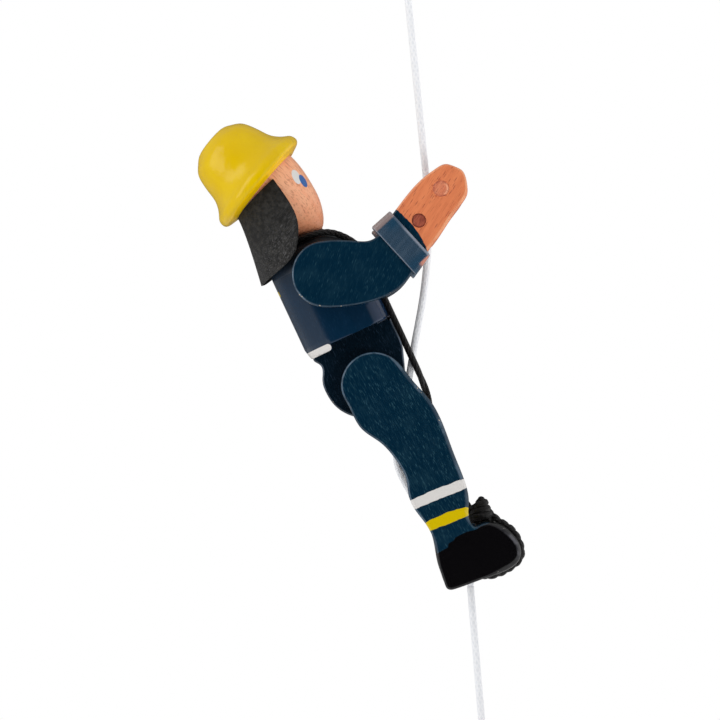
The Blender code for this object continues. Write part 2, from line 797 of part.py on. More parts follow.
def build():
    navy = (NAVY, 0.3)
    black = (BLACK, 0.7)
    beech = (BEECH, 0.5)
    white = (WHITE, 0.5)
    top = add_frame("cord_frame", None, 0.0, 0.0, CORD_LEAN)
    figure = add_frame("figure_frame", None, 0.0, 0.0, 0.0)
    arms = add_frame("arms_frame", figure, SHOULDER_X, SHOULDER_Z, 0.0)
    body = add_frame("torso_frame", arms, 0.0, 0.0, TORSO_LEAN)
    crown = add_frame("helmet_frame", body, HELMET_X, HELMET_Z, HEAD_LEAN)
    legs = add_frame("legs_frame", body, HIP_X, HIP_Z, -TORSO_LEAN)
    add_hanging_loop(top, white)
    add_torso(body, navy)
    _, head_axis = add_head(crown, beech)
    add_helmet(crown, head_axis, (YELLOW, 0.15))
    add_flap(head_axis, (BLACK, 0.8))
    for name, side in (("right", -1), ("left", 1)):
        add_arm("arm_" + name, side, arms, navy)
        add_cuff("cuff_" + name, side, arms, (CUFF_BLUE, 0.2))
        add_leg("leg_" + name, side, legs, navy)
    axle_reach = ARM_OUTER - BLIND_WALL
    add_rod("shoulder_axle", AXLE_DIAMETER, -axle_reach, axle_reach, arms, beech)
    for name, (x, z, diameter) in (("upper", HAND_DOWEL_UPPER), ("lower", HAND_DOWEL_LOWER)):
        add_rod("hand_dowel_" + name, diameter, -ARM_OUTER, ARM_OUTER, arms, beech, x, z)
    leg_reach = LEG_OUTER - BLIND_WALL
    add_rod("hip_axle", AXLE_DIAMETER, -leg_reach, leg_reach, legs, beech)
    for name, (x, z, diameter) in (("knee", KNEE_DOWEL), ("ankle", ANKLE_DOWEL)):
        add_rod(name + "_dowel", diameter, -leg_reach, leg_reach, legs, beech, x, z)
    neck = (-NECK_DOWEL_END + GAP, -NECK_DOWEL_TOP)
    add_rod("neck_dowel", NECK_DOWEL_DIAMETER, *neck, head_axis, beech, along="Z")
    torso = bpy.data.objects["torso"]
    bore(torso, NECK_DOWEL_DIAMETER, -NECK_DOWEL_END, -NECK_BORE_TOP, along="Z", frame=head_axis)
    add_board("toe_block", TOE_OUTLINE, 0.0, PELVIS_HALF_WIDTH, legs, (BLACK, 0.25), TOE_BLOCK_EDGE)
    add_elastic(body, legs, black)
    add_threaded_cord(arms, legs, white)


clear_scene()
PARTS = add_collection("climbing_figure")
CUTTERS = add_collection("cutters")
CUTTERS.hide_render = True
build()
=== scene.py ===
# %% [markdown]
# # A climbing figure on its cord
#
# This toy is a wooden figure, turned and sawn, that inches up a taut cord. Its hands and feet pinch the
# cord, and an elastic draws the legs up again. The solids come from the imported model, and this script
# dresses them: each cell makes one piece or one finish, and says how the real one is made.
#
# Lengths below are millimetres, in the model's own axes: X is where the figure faces, Z is up, and the
# origin is the inside of the hanging loop. They are turned into Blender's metres only when a mesh is made.

import math

import bmesh
import bpy
import numpy as np
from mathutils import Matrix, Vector


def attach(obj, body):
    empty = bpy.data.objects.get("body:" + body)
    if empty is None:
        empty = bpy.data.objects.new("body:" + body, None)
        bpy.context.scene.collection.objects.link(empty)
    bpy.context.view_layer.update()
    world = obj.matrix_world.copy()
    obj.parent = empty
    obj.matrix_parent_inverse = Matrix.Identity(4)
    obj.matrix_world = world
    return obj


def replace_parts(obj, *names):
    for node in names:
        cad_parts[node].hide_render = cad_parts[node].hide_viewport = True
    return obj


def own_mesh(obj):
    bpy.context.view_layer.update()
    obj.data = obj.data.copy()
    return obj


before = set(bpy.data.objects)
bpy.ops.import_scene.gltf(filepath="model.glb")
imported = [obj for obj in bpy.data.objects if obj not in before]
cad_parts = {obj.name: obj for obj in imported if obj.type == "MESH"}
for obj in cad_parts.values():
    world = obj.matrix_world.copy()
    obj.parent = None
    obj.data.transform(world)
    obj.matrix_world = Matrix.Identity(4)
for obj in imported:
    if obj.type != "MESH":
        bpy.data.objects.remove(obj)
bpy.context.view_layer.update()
MM = 0.001

# %% [markdown]
# ## The camera
#
# The photograph looks straight at the figure's right side, with no tilt. A long lens a metre away gives the
# same small change of scale between the near boards and the middle. At that distance a 125 mm lens on a 36
# mm sensor sees 288 mm, so one of the picture's 720 pixels is 0.4 mm.

# %% Camera
EYE = (-0.01617, -1.0, -0.1745)
LENS, SENSOR, PIXELS = 125, 36, 720


def add_object(name, data):
    """A new object in the scene, at the origin."""
    added = bpy.data.objects.new(name, data)
    bpy.context.scene.collection.objects.link(added)
    return added


camera_data = bpy.data.cameras.new("camera")
camera_data.lens = LENS
camera_data.sensor_width = SENSOR
camera = add_object("camera", camera_data)
camera.location = EYE
camera.rotation_euler = (math.radians(90), 0, 0)
bpy.context.scene.camera = camera
bpy.context.scene.view_settings.view_transform = "Standard"
print("one pixel is", round(-EYE[1] / MM * SENSOR / LENS / PIXELS, 3), "mm")

# %% [markdown]
# ## Where the pieces stand
#
# The body leans back, the head leans further, and the cord leans too. Each has its own upright drawing, so
# one function tips a drawing back and moves it to its place. A place is the drawing's origin and its lean
# in degrees.

# %% Leaning frames
MODEL = ((0.0, 0.0), 0.0)
ARMS = ((-29.84, -140.91), 0.0)
LEGS = ((-10.662, -184.333), 0.0)
BODY = ((-29.84, -140.91), 25.0)
CORD = ((0.0, 0.0), 5.8)
TAIL = ((28.0, -265.1), 4.8)


def leaning(points, place):
    """Tips points back and moves them: X = x0 + x cos - z sin, Y = y, Z = z0 + x sin + z cos."""
    (x0, z0), lean = place
    c, s = math.cos(math.radians(lean)), math.sin(math.radians(lean))
    x, y, z = np.moveaxis(np.asarray(points, float), -1, 0)
    return np.stack([x0 + c * x - s * z, y, z0 + s * x + c * z], axis=-1)


def upright(points):
    """(x, z) pairs as points in the middle plane."""
    x, z = np.asarray(points, float).T
    return np.stack([x, np.zeros(len(x)), z], axis=-1)


def unit(vectors):
    """The same directions with length 1."""
    return vectors / np.linalg.norm(vectors, axis=-1, keepdims=True)


rim_centre = leaning((-7.8, 0.0, 44.3), BODY)
HEAD = ((rim_centre[0], rim_centre[2]), 50.2)
print("rim centre", rim_centre.round(2))

# %% [markdown]
# ## Smooth lines
#
# A sawn outline, a turned profile and a cord are all lines that never kink. The smoothest line through a
# few measured points is a cubic spline: one cubic between each two points, with the bend carried on
# unbroken. Its bends come from one set of linear equations, which numpy solves at once. A closed line runs
# on past its start by a few points at each end, so that its two ends bend alike, and only one turn of it is
# kept.

# %% Spline
OVERLAP = 6


def run_of(points):
    """How far along a line of points each one is: the running sum of the steps between them."""
    return np.concatenate([[0], np.cumsum(np.linalg.norm(np.diff(points, axis=0), axis=1))])


def spline(points, step, closed=False):
    """Points about a step apart on the cubic spline through the given ones. The second derivatives m at the
    points satisfy h0 m0 + 2 (h0 + h1) m1 + h1 m2 = 6 (slope after - slope before), where h is the distance
    between them."""
    p = np.asarray(points, float)
    if closed:
        p = np.vstack([p[-OVERLAP:], p, p[: OVERLAP + 1]])
    h = np.linalg.norm(np.diff(p, axis=0), axis=1)
    n = len(p)
    rows = np.arange(1, n - 1)
    system, bend = np.eye(n), np.zeros_like(p)
    system[rows, rows - 1], system[rows, rows + 1] = h[:-1], h[1:]
    system[rows, rows] = 2 * (h[:-1] + h[1:])
    bend[1:-1] = 6 * np.diff(np.diff(p, axis=0) / h[:, None], axis=0)
    m = np.linalg.solve(system, bend)
    at = run_of(p)
    low, high = (at[OVERLAP], at[-OVERLAP - 1]) if closed else (at[0], at[-1])
    t = np.linspace(low, high, max(2, round((high - low) / step)) + 1)
    t = t[:-1] if closed else t
    k = np.clip(np.searchsorted(at, t, side="right") - 1, 0, n - 2)
    g, u = h[k][:, None], (t - at[k])[:, None]
    cubes = (m[k + 1] * u**3 + m[k] * (g - u) ** 3) / (6 * g)
    return cubes + (p[k + 1] / g - m[k + 1] * g / 6) * u + (p[k] / g - m[k] * g / 6) * (g - u)


# %% [markdown]
# ## Surfaces from grids
#
# Each piece is a grid of points, rows by columns, whose columns go round and meet. Numpy works out all the
# points at once. One function turns grids into a mesh, joins the points that meet, turns the faces
# outwards, and writes down how far round and how far along each point is, so that a braid can follow its
# cord. It also says which of the model's bodies carries the piece and which node of the model the piece
# stands in for; the colour slot it is given is not used.


# %% Mesh from grids
def skin(name, place, grids, rides, fills=(), edges=None, wrap=True):
    """A piece from (rows, columns, 3) grids in millimetres. rides is (body, slot, node); the slot is not
    used.
    fills are Y values where open rims are filled flat. edges says how far round its rounded edge each grid's
    point is: 0 on the flat, 1 on the side."""
    points, quads, uvs, first = [], [], [], 0
    for grid in (leaning(grid, place) for grid in grids):
        rows, columns = grid.shape[:2]
        index = first + np.arange(rows * columns).reshape(rows, columns)
        after = np.roll(index, -1, axis=1)
        if not wrap:
            index, after = index[:, :-1], after[:, :-1]
        quads.append(np.stack([index[:-1], after[:-1], after[1:], index[1:]], -1).reshape(-1, 4))
        along = run_of(grid[:, 0])
        u = np.arange(index.shape[1]) / columns
        low_u, low_v = np.meshgrid(u, along[:-1])
        high_u, high_v = np.meshgrid(u + 1 / columns, along[1:])
        corners = [(low_u, low_v), (high_u, low_v), (high_u, high_v), (low_u, high_v)]
        uvs.append(np.stack([np.stack(c, -1) for c in corners], 2).reshape(-1, 2))
        points.append(grid.reshape(-1, 3))
        first += rows * columns
    points, quads, uvs = np.vstack(points) * MM, np.vstack(quads), np.vstack(uvs)
    mesh = bpy.data.meshes.new(name)
    mesh.vertices.add(len(points))
    mesh.vertices.foreach_set("co", points.ravel())
    mesh.loops.add(quads.size)
    mesh.loops.foreach_set("vertex_index", quads.ravel().astype(np.int32))
    mesh.polygons.add(len(quads))
    mesh.polygons.foreach_set("loop_start", np.arange(0, quads.size, 4, dtype=np.int32))
    mesh.update(calc_edges=True)
    mesh.uv_layers.new(name="UVMap").data.foreach_set("uv", uvs.ravel())
    wear_and_edge_highlight = mesh.attributes.new("edge", "FLOAT", "POINT")
    if edges is not None:
        wear_and_edge_highlight.data.foreach_set("value", np.concatenate([e.ravel() for e in edges]).astype(np.float32))
    close_up(mesh, fills)
    piece = add_object(name, mesh)
    body, slot, node = rides
    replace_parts(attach(piece, body), node)
    print(name, "for", node, "on", body, len(mesh.polygons), "faces")
    return piece


def close_up(mesh, fills):
    """Joins points that meet, fills the flat rims, and turns the faces outwards."""
    shape = bmesh.new()
    shape.from_mesh(mesh)
    bmesh.ops.remove_doubles(shape, verts=shape.verts, dist=0.001 * MM)
    for y in fills:
        rim = [e for e in shape.edges if e.is_boundary and all(abs(v.co.y / MM - y) < 1e-3 for v in e.verts)]
        bmesh.ops.triangle_fill(shape, use_beauty=True, use_dissolve=False, edges=rim)
    bmesh.ops.recalc_face_normals(shape, faces=shape.faces)
    shape.to_mesh(mesh)
    shape.free()
    mesh.shade_smooth()


# %% [markdown]
# A cord is a circle carried along a path. The circle needs two directions square to the path, and they must
# not spin about it, or the braid would be wound up. They start from a hint, and the running sum of the
# hint's own twist is taken off again.


# %% Tubes
def tube(route, radius, around=24, relief=None, hint=(0.0, 1.0, 0.0), dome=0.35):
    """Circles of points round a path: path + r (cos a side + sin a other). relief(a, s) is added to the
    radius at angle a and distance s along. Circles that shrink as a flattened ball's do close the ends."""
    route, hint = np.asarray(route, float), np.asarray(hint, float)
    along = unit(np.gradient(route, axis=0))
    side = unit(hint - (along @ hint)[:, None] * along)
    other = np.cross(along, side)
    twist = np.arctan2((side[1:] * other[:-1]).sum(1), (side[1:] * side[:-1]).sum(1))
    turned = -np.concatenate([[0], np.cumsum(twist)])
    s = run_of(route)
    angle = np.arange(around)[None] * 2 * np.pi / around
    radius = np.broadcast_to(radius, len(s))[:, None]
    reach = radius + (relief(angle, s[:, None]) if relief else np.zeros((len(s), around)))
    a = angle + turned[:, None]
    spokes = np.cos(a)[..., None] * side[:, None] + np.sin(a)[..., None] * other[:, None]
    body = route[:, None] + reach[..., None] * spokes
    shrink = np.radians([90, 60, 30])[:, None, None]
    past, smaller = dome * np.sin(shrink), np.cos(shrink)
    start = route[0] - along[0] * radius[0] * past + smaller * (body[:1] - route[0])
    end = route[-1] + along[-1] * radius[-1] * past + smaller * (body[-1:] - route[-1])
    return np.concatenate([start, body, end[::-1]])


def braid(strands, pitch, depth):
    """Two sets of strands wound opposite ways: the higher of cos(n a + k s) and cos(n a - k s)."""
    k = 2 * np.pi / pitch
    return lambda a, s: depth * (np.maximum(np.cos(strands * a + k * s), np.cos(strands * a - k * s)) - 0.6)


# %% [markdown]
# ## The white cord
#
# The real cord is one piece of smooth braided cord, about 2.8 mm thick, held taut from above and below. A
# tube with a faint braid is right for it. It is made in five lengths, because the figure's bodies carry
# them: above the hands, in the hands, down the thighs, inside the legs, and below the feet. Each length
# runs a hair into the next, so the cord looks whole.

# %% Cord lengths
CORD_DIAMETER = 2.8
CORD_STEP = 0.35
CORD_SIDES = 30
KNOT_FOOT = 27.3
TAIL_LENGTH = 71.0
CORD_IN_HANDS = [
    (10.28, -101.3), (10.48, -105.0), (10.48, -109.0), (11.0, -113.7), (11.4, -118.5), (11.35, -123.5),
    (11.1, -128.5), (10.85, -132.5),
]
CORD_MIDDLE = [
    (10.83, -132.8), (9.5, -146.0), (8.0, -155.6), (5.6, -168.5), (3.93, -178.6), (2.3, -188.0),
    (0.6, -197.5), (-0.95, -207.5),
]
CORD_IN_LEGS = [
    (-0.95, -207.8), (-1.55, -214.0), (-0.25, -219.1), (2.05, -224.0), (4.95, -228.8), (9.3, -235.0),
    (17.0, -241.4), (24.2, -246.7), (26.8, -252.0), (27.7, -258.5), (27.95, -264.45),
]
cord_braid = braid(5, 3.2, 0.05)


def straight(top, bottom, place):
    """Evenly spaced points straight down a leaning frame."""
    z = np.linspace(top, bottom, round((top - bottom) / CORD_STEP) + 1)
    return leaning(np.stack([0 * z, 0 * z, z], -1), place)


hands_reach = math.hypot(*CORD_IN_HANDS[0])
routes, cords = {}, {}
for name, route, body, node in (
    ("cord_upper_run", straight(-KNOT_FOOT, -hands_reach + 0.3, CORD), "cord", "cord_upper"),
    ("cord_hand_run", spline(upright(CORD_IN_HANDS), CORD_STEP), "arms", "cord_in_hands"),
    ("cord_thigh_run", spline(upright(CORD_MIDDLE), CORD_STEP), "cord_run", "cord_middle"),
    ("cord_leg_run", spline(upright(CORD_IN_LEGS), CORD_STEP), "legs", "cord_in_legs"),
    ("cord_lower_run", straight(0.0, -TAIL_LENGTH, TAIL), "cord_tail", "cord_lower"),
):
    grid = tube(route, CORD_DIAMETER / 2, CORD_SIDES, cord_braid)
    routes[name], cords[name] = route, skin(name, MODEL, [grid], (body, "cord_white", node))
    print(name, "length", round(run_of(route)[-1], 1), "mm")

# %% [markdown]
# ## The cord's ends
#
# Above, the cord is tied into a loop to hang by. Below the feet it carries a ball to pull on, with a knot
# that stops it. A knot is cord wound round itself, so each is a helix of cord, drawn in at its ends, round
# a straight core. That shows real turns, where a lump would not.

# %% Knots and loop
LOOP = [(1.75, -19.0), (2.9, -15.0), (5.2, -10.1), (6.0, -4.6), (4.25, -0.36), (0.0, 1.4)]
KNOT_REACH = 2.15
KNOT_HALF = 2.75
CORE_HALF = 4.4


def wound(turns, reach, half_length, tuck=0.35):
    """A helix whose radius shrinks towards both ends: r (1 - tuck t^4) at t from -1 to 1."""
    t = np.linspace(-1, 1, round(turns * 36))
    r, a = reach * (1 - tuck * t**4), np.pi * turns * t
    return np.stack([r * np.cos(a), r * np.sin(a), -half_length * t], -1)


def cord_knot(node, middle, place, body, turns):
    coil = wound(turns, KNOT_REACH, KNOT_HALF) + (0, 0, middle)
    core = np.stack([np.zeros(40), np.zeros(40), middle + np.linspace(CORE_HALF, -CORE_HALF, 40)], -1)
    grids = [tube(coil, 1.35, 20, cord_braid, (0.0, 0.0, 1.0)), tube(core, 1.4, 24, cord_braid)]
    return skin(node + "_cord", place, grids, (body, "cord_white", node))


def lathe(profile, around):
    """A turned shape: each (radius, height) of the profile carried round the upright axis."""
    profile = np.asarray(profile, float)
    a = np.arange(around)[None] * 2 * np.pi / around
    r, h = profile[:, :1], profile[:, 1:]
    return np.stack([r * np.cos(a), r * np.sin(a), h + 0 * a], -1)


loop_route = spline(upright([(-x, z) for x, z in LOOP[:-1]] + LOOP[::-1]), CORD_STEP)
loop_grid = tube(loop_route, CORD_DIAMETER / 2, CORD_SIDES, cord_braid)
hanging_loop = skin("hanging_loop_cord", CORD, [loop_grid], ("cord", "cord_white", "hanging_loop"))
loop_knot = cord_knot("loop_knot", -23.3, CORD, "cord", 2.2)
end_knot = cord_knot("end_knot", -74.9, TAIL, "cord_tail", 2.0)

# %% [markdown]
# The ball is turned, and its two ends are drilled through for the cord, with a slightly wider mouth.

# %% Ball
BALL_RADIUS = 7.0
BALL_MIDDLE = -64.0
BORE = 1.7
BORE_MOUTH = 1.8
BORE_TILT = 16
tilt = np.radians(np.linspace(90 - BORE_TILT, -90 + BORE_TILT, 60))
ball_outside = np.stack([BALL_RADIUS * np.cos(tilt), BALL_MIDDLE + BALL_RADIUS * np.sin(tilt)], -1)
bore_z = BALL_MIDDLE + np.array([-6.3, -5.6, 5.6, 6.3])
ball_bore = np.stack([[BORE_MOUTH, BORE, BORE, BORE_MOUTH], bore_z], -1)
ball_grid = lathe(np.vstack([ball_outside, ball_bore, ball_outside[:1]]), 64)
pull_ball = skin("pull_ball_turned", TAIL, [ball_grid], ("cord_tail", "ball_red", "pull_ball"))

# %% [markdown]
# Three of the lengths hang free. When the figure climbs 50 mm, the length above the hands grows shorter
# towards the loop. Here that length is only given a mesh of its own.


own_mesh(cords["cord_upper_run"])

# %% [markdown]
# ## Sawn boards
#
# Arms, legs and the block between the toes are sawn from board and their edges are rounded over, so light
# runs along them as a thin line. The outline is a closed spline. Rings of it, each moved in a little and
# down a little, make the rounded edge, and the flat faces are filled inside the last ring. Dowel holes are
# rings too.

# %% Boards
BOARD_STEP = 0.45
HOLE_EDGE = 0.2


def arc(radius, first, last, count, x=0.0, z=0.0):
    """Points round a circle from one angle to another."""
    a = np.radians(np.linspace(first, last, count + 1))
    return np.stack([x + radius * np.cos(a), z + radius * np.sin(a)], -1)


def ramp(t):
    """A straight step: t, held between 0 and 1."""
    return np.clip(t, 0, 1)


def smooth(t):
    """A smooth step from 0 to 1 as t goes from 0 to 1: 3 t^2 - 2 t^3."""
    t = ramp(t)
    return t**2 * (3 - 2 * t)


def square_out(ring):
    """The outward direction at each point of a closed ring, square to the line between its neighbours."""
    line = np.roll(ring, -1, axis=0) - np.roll(ring, 1, axis=0)
    area = (ring[:, 0] * np.roll(ring[:, 1], -1) - ring[:, 1] * np.roll(ring[:, 0], -1)).sum()
    return unit(np.stack([line[:, 1], -line[:, 0]], -1) * np.sign(area))


def board(name, ring, low, high, edge, place, rides, holes=()):
    """A board from Y low to high. At angle a round its edge a point is edge (1 - sin a) in and
    edge (1 - cos a) down. edge is one radius, or one for each point of the ring."""
    a = np.radians(np.linspace(0, 90, 7))
    a = np.concatenate([a, a[::-1]])
    inset, down, wear_and_edge_highlight = 1 - np.sin(a), 1 - np.cos(a), a / (np.pi / 2)
    top = np.arange(len(a)) < len(a) // 2

    def band(points, radius, outward, flat):
        radius = np.broadcast_to(radius, len(points))
        out = square_out(points) * outward
        xz = points[None] - (inset[:, None] * radius)[..., None] * out[None]
        y = np.where(top[:, None], high - down[:, None] * radius, low + down[:, None] * radius)
        rows = np.stack([xz[..., 0], y, xz[..., 1]], -1)
        inner = points - (radius + flat)[:, None] * out
        caps = [np.stack([inner[:, 0], np.full(len(inner), y0), inner[:, 1]], -1) for y0 in (high, low)]
        return np.concatenate([caps[0][None], rows, caps[1][None]])

    grids = [band(ring, edge, 1, 0.5)]
    marks = [np.concatenate([[0], wear_and_edge_highlight, [0]])[:, None] * np.ones((1, len(ring)))]
    for x, z, radius in holes:
        circle = arc(radius, 0, 360, 48, x, z)[:-1]
        grids.append(band(circle, HOLE_EDGE, -1, HOLE_EDGE))
        marks.append(np.zeros((len(grids[-1]), len(circle))))
    return skin(name, place, grids, rides, (high, low), marks)


# %% [markdown]
# The arm is one board from the shoulder's disc to the hand, with two holes for the dowels that pinch the
# cord. The hand's lower edge is broken more than the rest.

# %% Arms
HAND_DOWEL_UPPER = (45.3, 33.4, 6.2)
HAND_DOWEL_LOWER = (36.7, 20.9, 5.5)
ARM_INSIDE, ARM_OUTSIDE = 15.8, 23.5
DISC_RADIUS = 13.0
ARM_OUTLINE = [
    (11.7, 13.0), (17.6, 13.2), (20.1, 14.6), (23.6, 19.5), (27.1, 24.4), (38.5, 37.7), (43.2, 41.2),
    (46.9, 43.0), (50.9, 42.0), (53.7, 40.4), (55.1, 37.5), (55.7, 34.0), (55.6, 31.2), (54.5, 28.9),
    (51.2, 24.5), (45.7, 16.2), (40.7, 9.6), (37.2, 4.7), (33.7, -0.2), (30.8, -3.9), (26.6, -7.2),
    (17.6, -10.9), (8.5, -12.6),
]
arm_ring = spline(np.vstack([ARM_OUTLINE, arc(DISC_RADIUS, -88, -270, 7)]), BOARD_STEP, closed=True)
facing_down = ramp((square_out(arm_ring) @ np.array([0.79, -0.61]) - 0.6) / 0.3)
arm_edge = 0.85 + 0.75 * facing_down * ramp((arm_ring[:, 0] - 33) / 4)
dowel_holes = [(x, z, d / 2 + 0.03) for x, z, d in (HAND_DOWEL_UPPER, HAND_DOWEL_LOWER)]
arms = []
for node, low, high in (("arm_right", -ARM_OUTSIDE, -ARM_INSIDE), ("arm_left", ARM_INSIDE, ARM_OUTSIDE)):
    rides = ("arms", "navy_lacquer", node)
    arms.append(board(node + "_sawn", arm_ring, low, high, arm_edge, ARMS, rides, dowel_holes))
print("arm ring", len(arm_ring), "points")

# %% [markdown]
# The leg and its boot are one board too. Its toe and its front are sanded rounder than the rest, and show a
# soft reflection there, so the edge radius grows towards them. The block between the toes is a slice of the
# same toe.

# %% Legs
LEG_INSIDE, LEG_OUTSIDE = 8.3, 16.3
LEG_OUTLINE = [
    (15.3, 1.7), (21.5, -5.2), (26.4, -13.6), (31.2, -26.2), (35.1, -36.0), (37.4, -46.0), (38.0, -54.0),
    (39.6, -55.8), (42.6, -54.9), (47.2, -54.7), (51.6, -56.4), (55.0, -59.2), (57.3, -62.5), (58.1, -65.8),
    (57.5, -68.6), (55.6, -71.0), (52.5, -73.0), (45.0, -75.7), (37.9, -78.3), (31.9, -80.4), (30.1, -80.7),
    (28.8, -80.2), (27.9, -78.4), (26.0, -72.6), (23.9, -62.0), (20.2, -54.5), (16.0, -48.9), (13.8, -44.0),
    (12.7, -37.2), (8.6, -29.5), (2.6, -22.8), (-5.0, -17.2),
]
leg_ring = spline(np.vstack([LEG_OUTLINE, arc(DISC_RADIUS, -140, -310, 6)]), BOARD_STEP, closed=True)
to_toe = smooth((leg_ring[:, 0] - 44) / 9)
to_front = ramp((square_out(leg_ring)[:, 0] - 0.5) / 0.3) * ramp((leg_ring[:, 1] + 55) / 3)
leg_edge = 0.9 + 1.2 * to_toe + 0.9 * to_front
legs = []
for node, low, high in (("leg_right", -LEG_OUTSIDE, -LEG_INSIDE), ("leg_left", LEG_INSIDE, LEG_OUTSIDE)):
    rides = ("legs", "legs_lacquer", node)
    legs.append(board(node + "_sawn", leg_ring, low, high, leg_edge, LEGS, rides))
TOE_FRONT = [
    (43.1, -56.8), (47.2, -54.9), (51.1, -56.0), (55.2, -59.6), (56.9, -65.1), (56.1, -69.1), (52.9, -72.0),
    (44.8, -75.4), (43.1, -76.0),
]
toe_back = np.linspace(TOE_FRONT[-1], TOE_FRONT[0], 40)[1:-1]
toe_ring = np.vstack([spline(TOE_FRONT, BOARD_STEP), toe_back])
toe_block = board("toe_block_sawn", toe_ring, -8.0, 8.0, 0.3, LEGS, ("legs", "boot_black", "toe_block"))

# %% [markdown]
# ## Turned pieces
#
# The body is turned on a lathe, then its two sides are planed flat so that the arms lie against them. On
# the grid that is one step: turn the profile, then hold |Y| back to the flat with a small rounding. The
# flats close in towards the front, the dome is fuller behind the neck, and the back is a little narrower.
# The hem dips at the back as a short lip over the pelvis.

# %% Body
BODY_RADIUS = 18.3
DOME_FOOT = 0.8
DOME_HEIGHT = 15.4
BODY_HALF_WIDTH = 15.5
BODY_AXIS = -1.95
HEM = -25.6
LIP = 2.3


def held_back(y, limit, soft):
    """|y| kept below a limit, rounded where it reaches it: the smooth minimum of the two."""
    near = np.clip(soft - np.abs(np.abs(y) - limit), 0, None) / soft
    return np.sign(y) * (np.minimum(np.abs(y), limit) - near**2 * soft / 4)


dome = np.radians(np.linspace(90, 0, 60))
body_dome = np.stack([BODY_RADIUS * np.cos(dome), DOME_FOOT + DOME_HEIGHT * np.sin(dome)], -1)
sides = np.stack([np.full(80, BODY_RADIUS), np.linspace(0.5, HEM + 1.0, 80)], -1)
turn_in = np.radians(np.linspace(10, 90, 10))
hem = np.stack([BODY_RADIUS - 0.7 * (1 - np.cos(turn_in)), HEM + 0.8 * (1 - np.sin(turn_in))], -1)
base = np.stack([np.linspace(BODY_RADIUS - 1.0, 0, 24), np.full(24, HEM)], -1)
body_grid = lathe(np.vstack([body_dome, sides, hem, base]), 240)
x, y, z = np.moveaxis(body_grid, -1, 0)
fuller = 1 + 1.75 * np.clip(0.6 - x / BODY_RADIUS, 0, 1.2)
share = ramp((z - DOME_FOOT) / DOME_HEIGHT)
wider = (1 - share ** (2 * fuller)) ** 0.5 / np.sqrt(np.clip(1 - share**2, 1e-9, None))
body_grid[..., :2] *= np.where(share < 0.999, np.minimum(wider, 3.0), 1.0)[..., None]
behind = smooth(-x / 5 + 0.9)
y *= 1 - 0.12 * behind
y[:] = held_back(y, BODY_HALF_WIDTH - 0.2 * np.clip(x - 4.0, 0, None), 0.8 + 0.8 * behind)
x += BODY_AXIS
lip = smooth((-23.4 - z) / 2.2) * smooth((-9.7 - x) / 0.7)
z -= LIP * lip
body_grid[..., :2] *= 1 - 0.045 * lip[..., None]
torso = skin("torso_turned", BODY, [body_grid], ("torso", "navy_lacquer", "torso"))

# %% [markdown]
# Below the hem the same piece goes on as a flat tongue, the pelvis, which stands between the legs. Its top
# is sunk into the body, and its back edge ends under the lip.

# %% Pelvis
PELVIS_DISC = (16.5, -32, -196, 10, -2.96, -42.85)
PELVIS_FRONT = [
    (16.25, HEM + 0.6), (16.15, -30.0), (16.15, -36.5), (15.7, -39.0), (14.8, -41.6), (13.8, -44.5),
    (12.75, -47.3),
]
PELVIS_BACK = [
    (-18.9, -37.6), (-17.3, -34.4), (-16.8, -32.4), (-17.6, -30.4), (-18.6, -28.6), (-18.2, -27.6),
    (-16.2, -26.8), (-14.0, -26.2),
]
pelvis_run = np.vstack([PELVIS_FRONT, arc(*PELVIS_DISC)[:-1], PELVIS_BACK])
root = [(-13.0, HEM), (-12.0, HEM + 5), (10.0, HEM + 5), (11.0, HEM)]
pelvis_ring = np.vstack([spline(pelvis_run, BOARD_STEP), root])
pelvis = board("pelvis_tongue", pelvis_ring, -8.0, 8.0, 0.8, BODY, ("torso", "navy_lacquer", "torso"))

# %% [markdown]
# The head is a turned egg and the helmet a turned bell with a thick rolled rim. Both are shapes of
# revolution, so a spline through the measured profile, carried round the axis, is all they need. The helmet
# is closed underneath by its own hollow, so it is a real wall with a rim, seen from below too.

# %% Head and helmet
HEAD_PROFILE = [
    (0.0, 13.8), (9.0, 11.2), (14.4, 5.0), (16.0, -0.5), (15.8, -4.5), (15.15, -8.1), (13.0, -15.2),
    (10.6, -21.0), (7.7, -25.4), (5.3, -28.0), (2.6, -29.8), (0.0, -30.4),
]
HELMET_OUTSIDE = [
    (0.0, 26.8), (3.2, 26.6), (8.0, 25.8), (10.4, 24.25), (13.3, 21.7), (15.1, 17.7), (16.2, 13.4),
    (17.15, 9.8), (18.8, 6.9), (20.6, 4.85), (22.1, 3.3), (22.65, 1.7), (22.5, 0.3), (21.8, -0.5),
    (20.0, -1.1), (17.8, -1.65), (16.8, -1.8),
]
HELMET_INSIDE = [
    (16.55, -1.6), (16.4, -1.0), (16.35, 3.0), (15.2, 8.0), (11.5, 12.2), (5.5, 14.2), (0.0, 14.6),
]
head_profile = spline(HEAD_PROFILE, 0.4)
helmet_profile = np.vstack([spline(HELMET_OUTSIDE, 0.35), spline(HELMET_INSIDE, 0.5)])
for profile in (head_profile, helmet_profile):
    profile[:, 0] = np.maximum(profile[:, 0], 0)
head = skin("head_turned", HEAD, [lathe(head_profile, 128)], ("torso", "beech_head", "head"))
helmet = skin("helmet_turned", HEAD, [lathe(helmet_profile, 160)], ("torso", "helmet_yellow", "helmet"))

# %% [markdown]
# ## The neck flap
#
# A piece of soft black leather hangs from inside the helmet round the back of the head, flared at its hem.
# It is a sheet, so it is a grid of across and down, wrapped round the head, with its thickness from
# Solidify and its cut edges softened by a small bevel.

# %% Neck flap
FLAP_TOP = 15.9 + 0.7
FLARE = 14.8


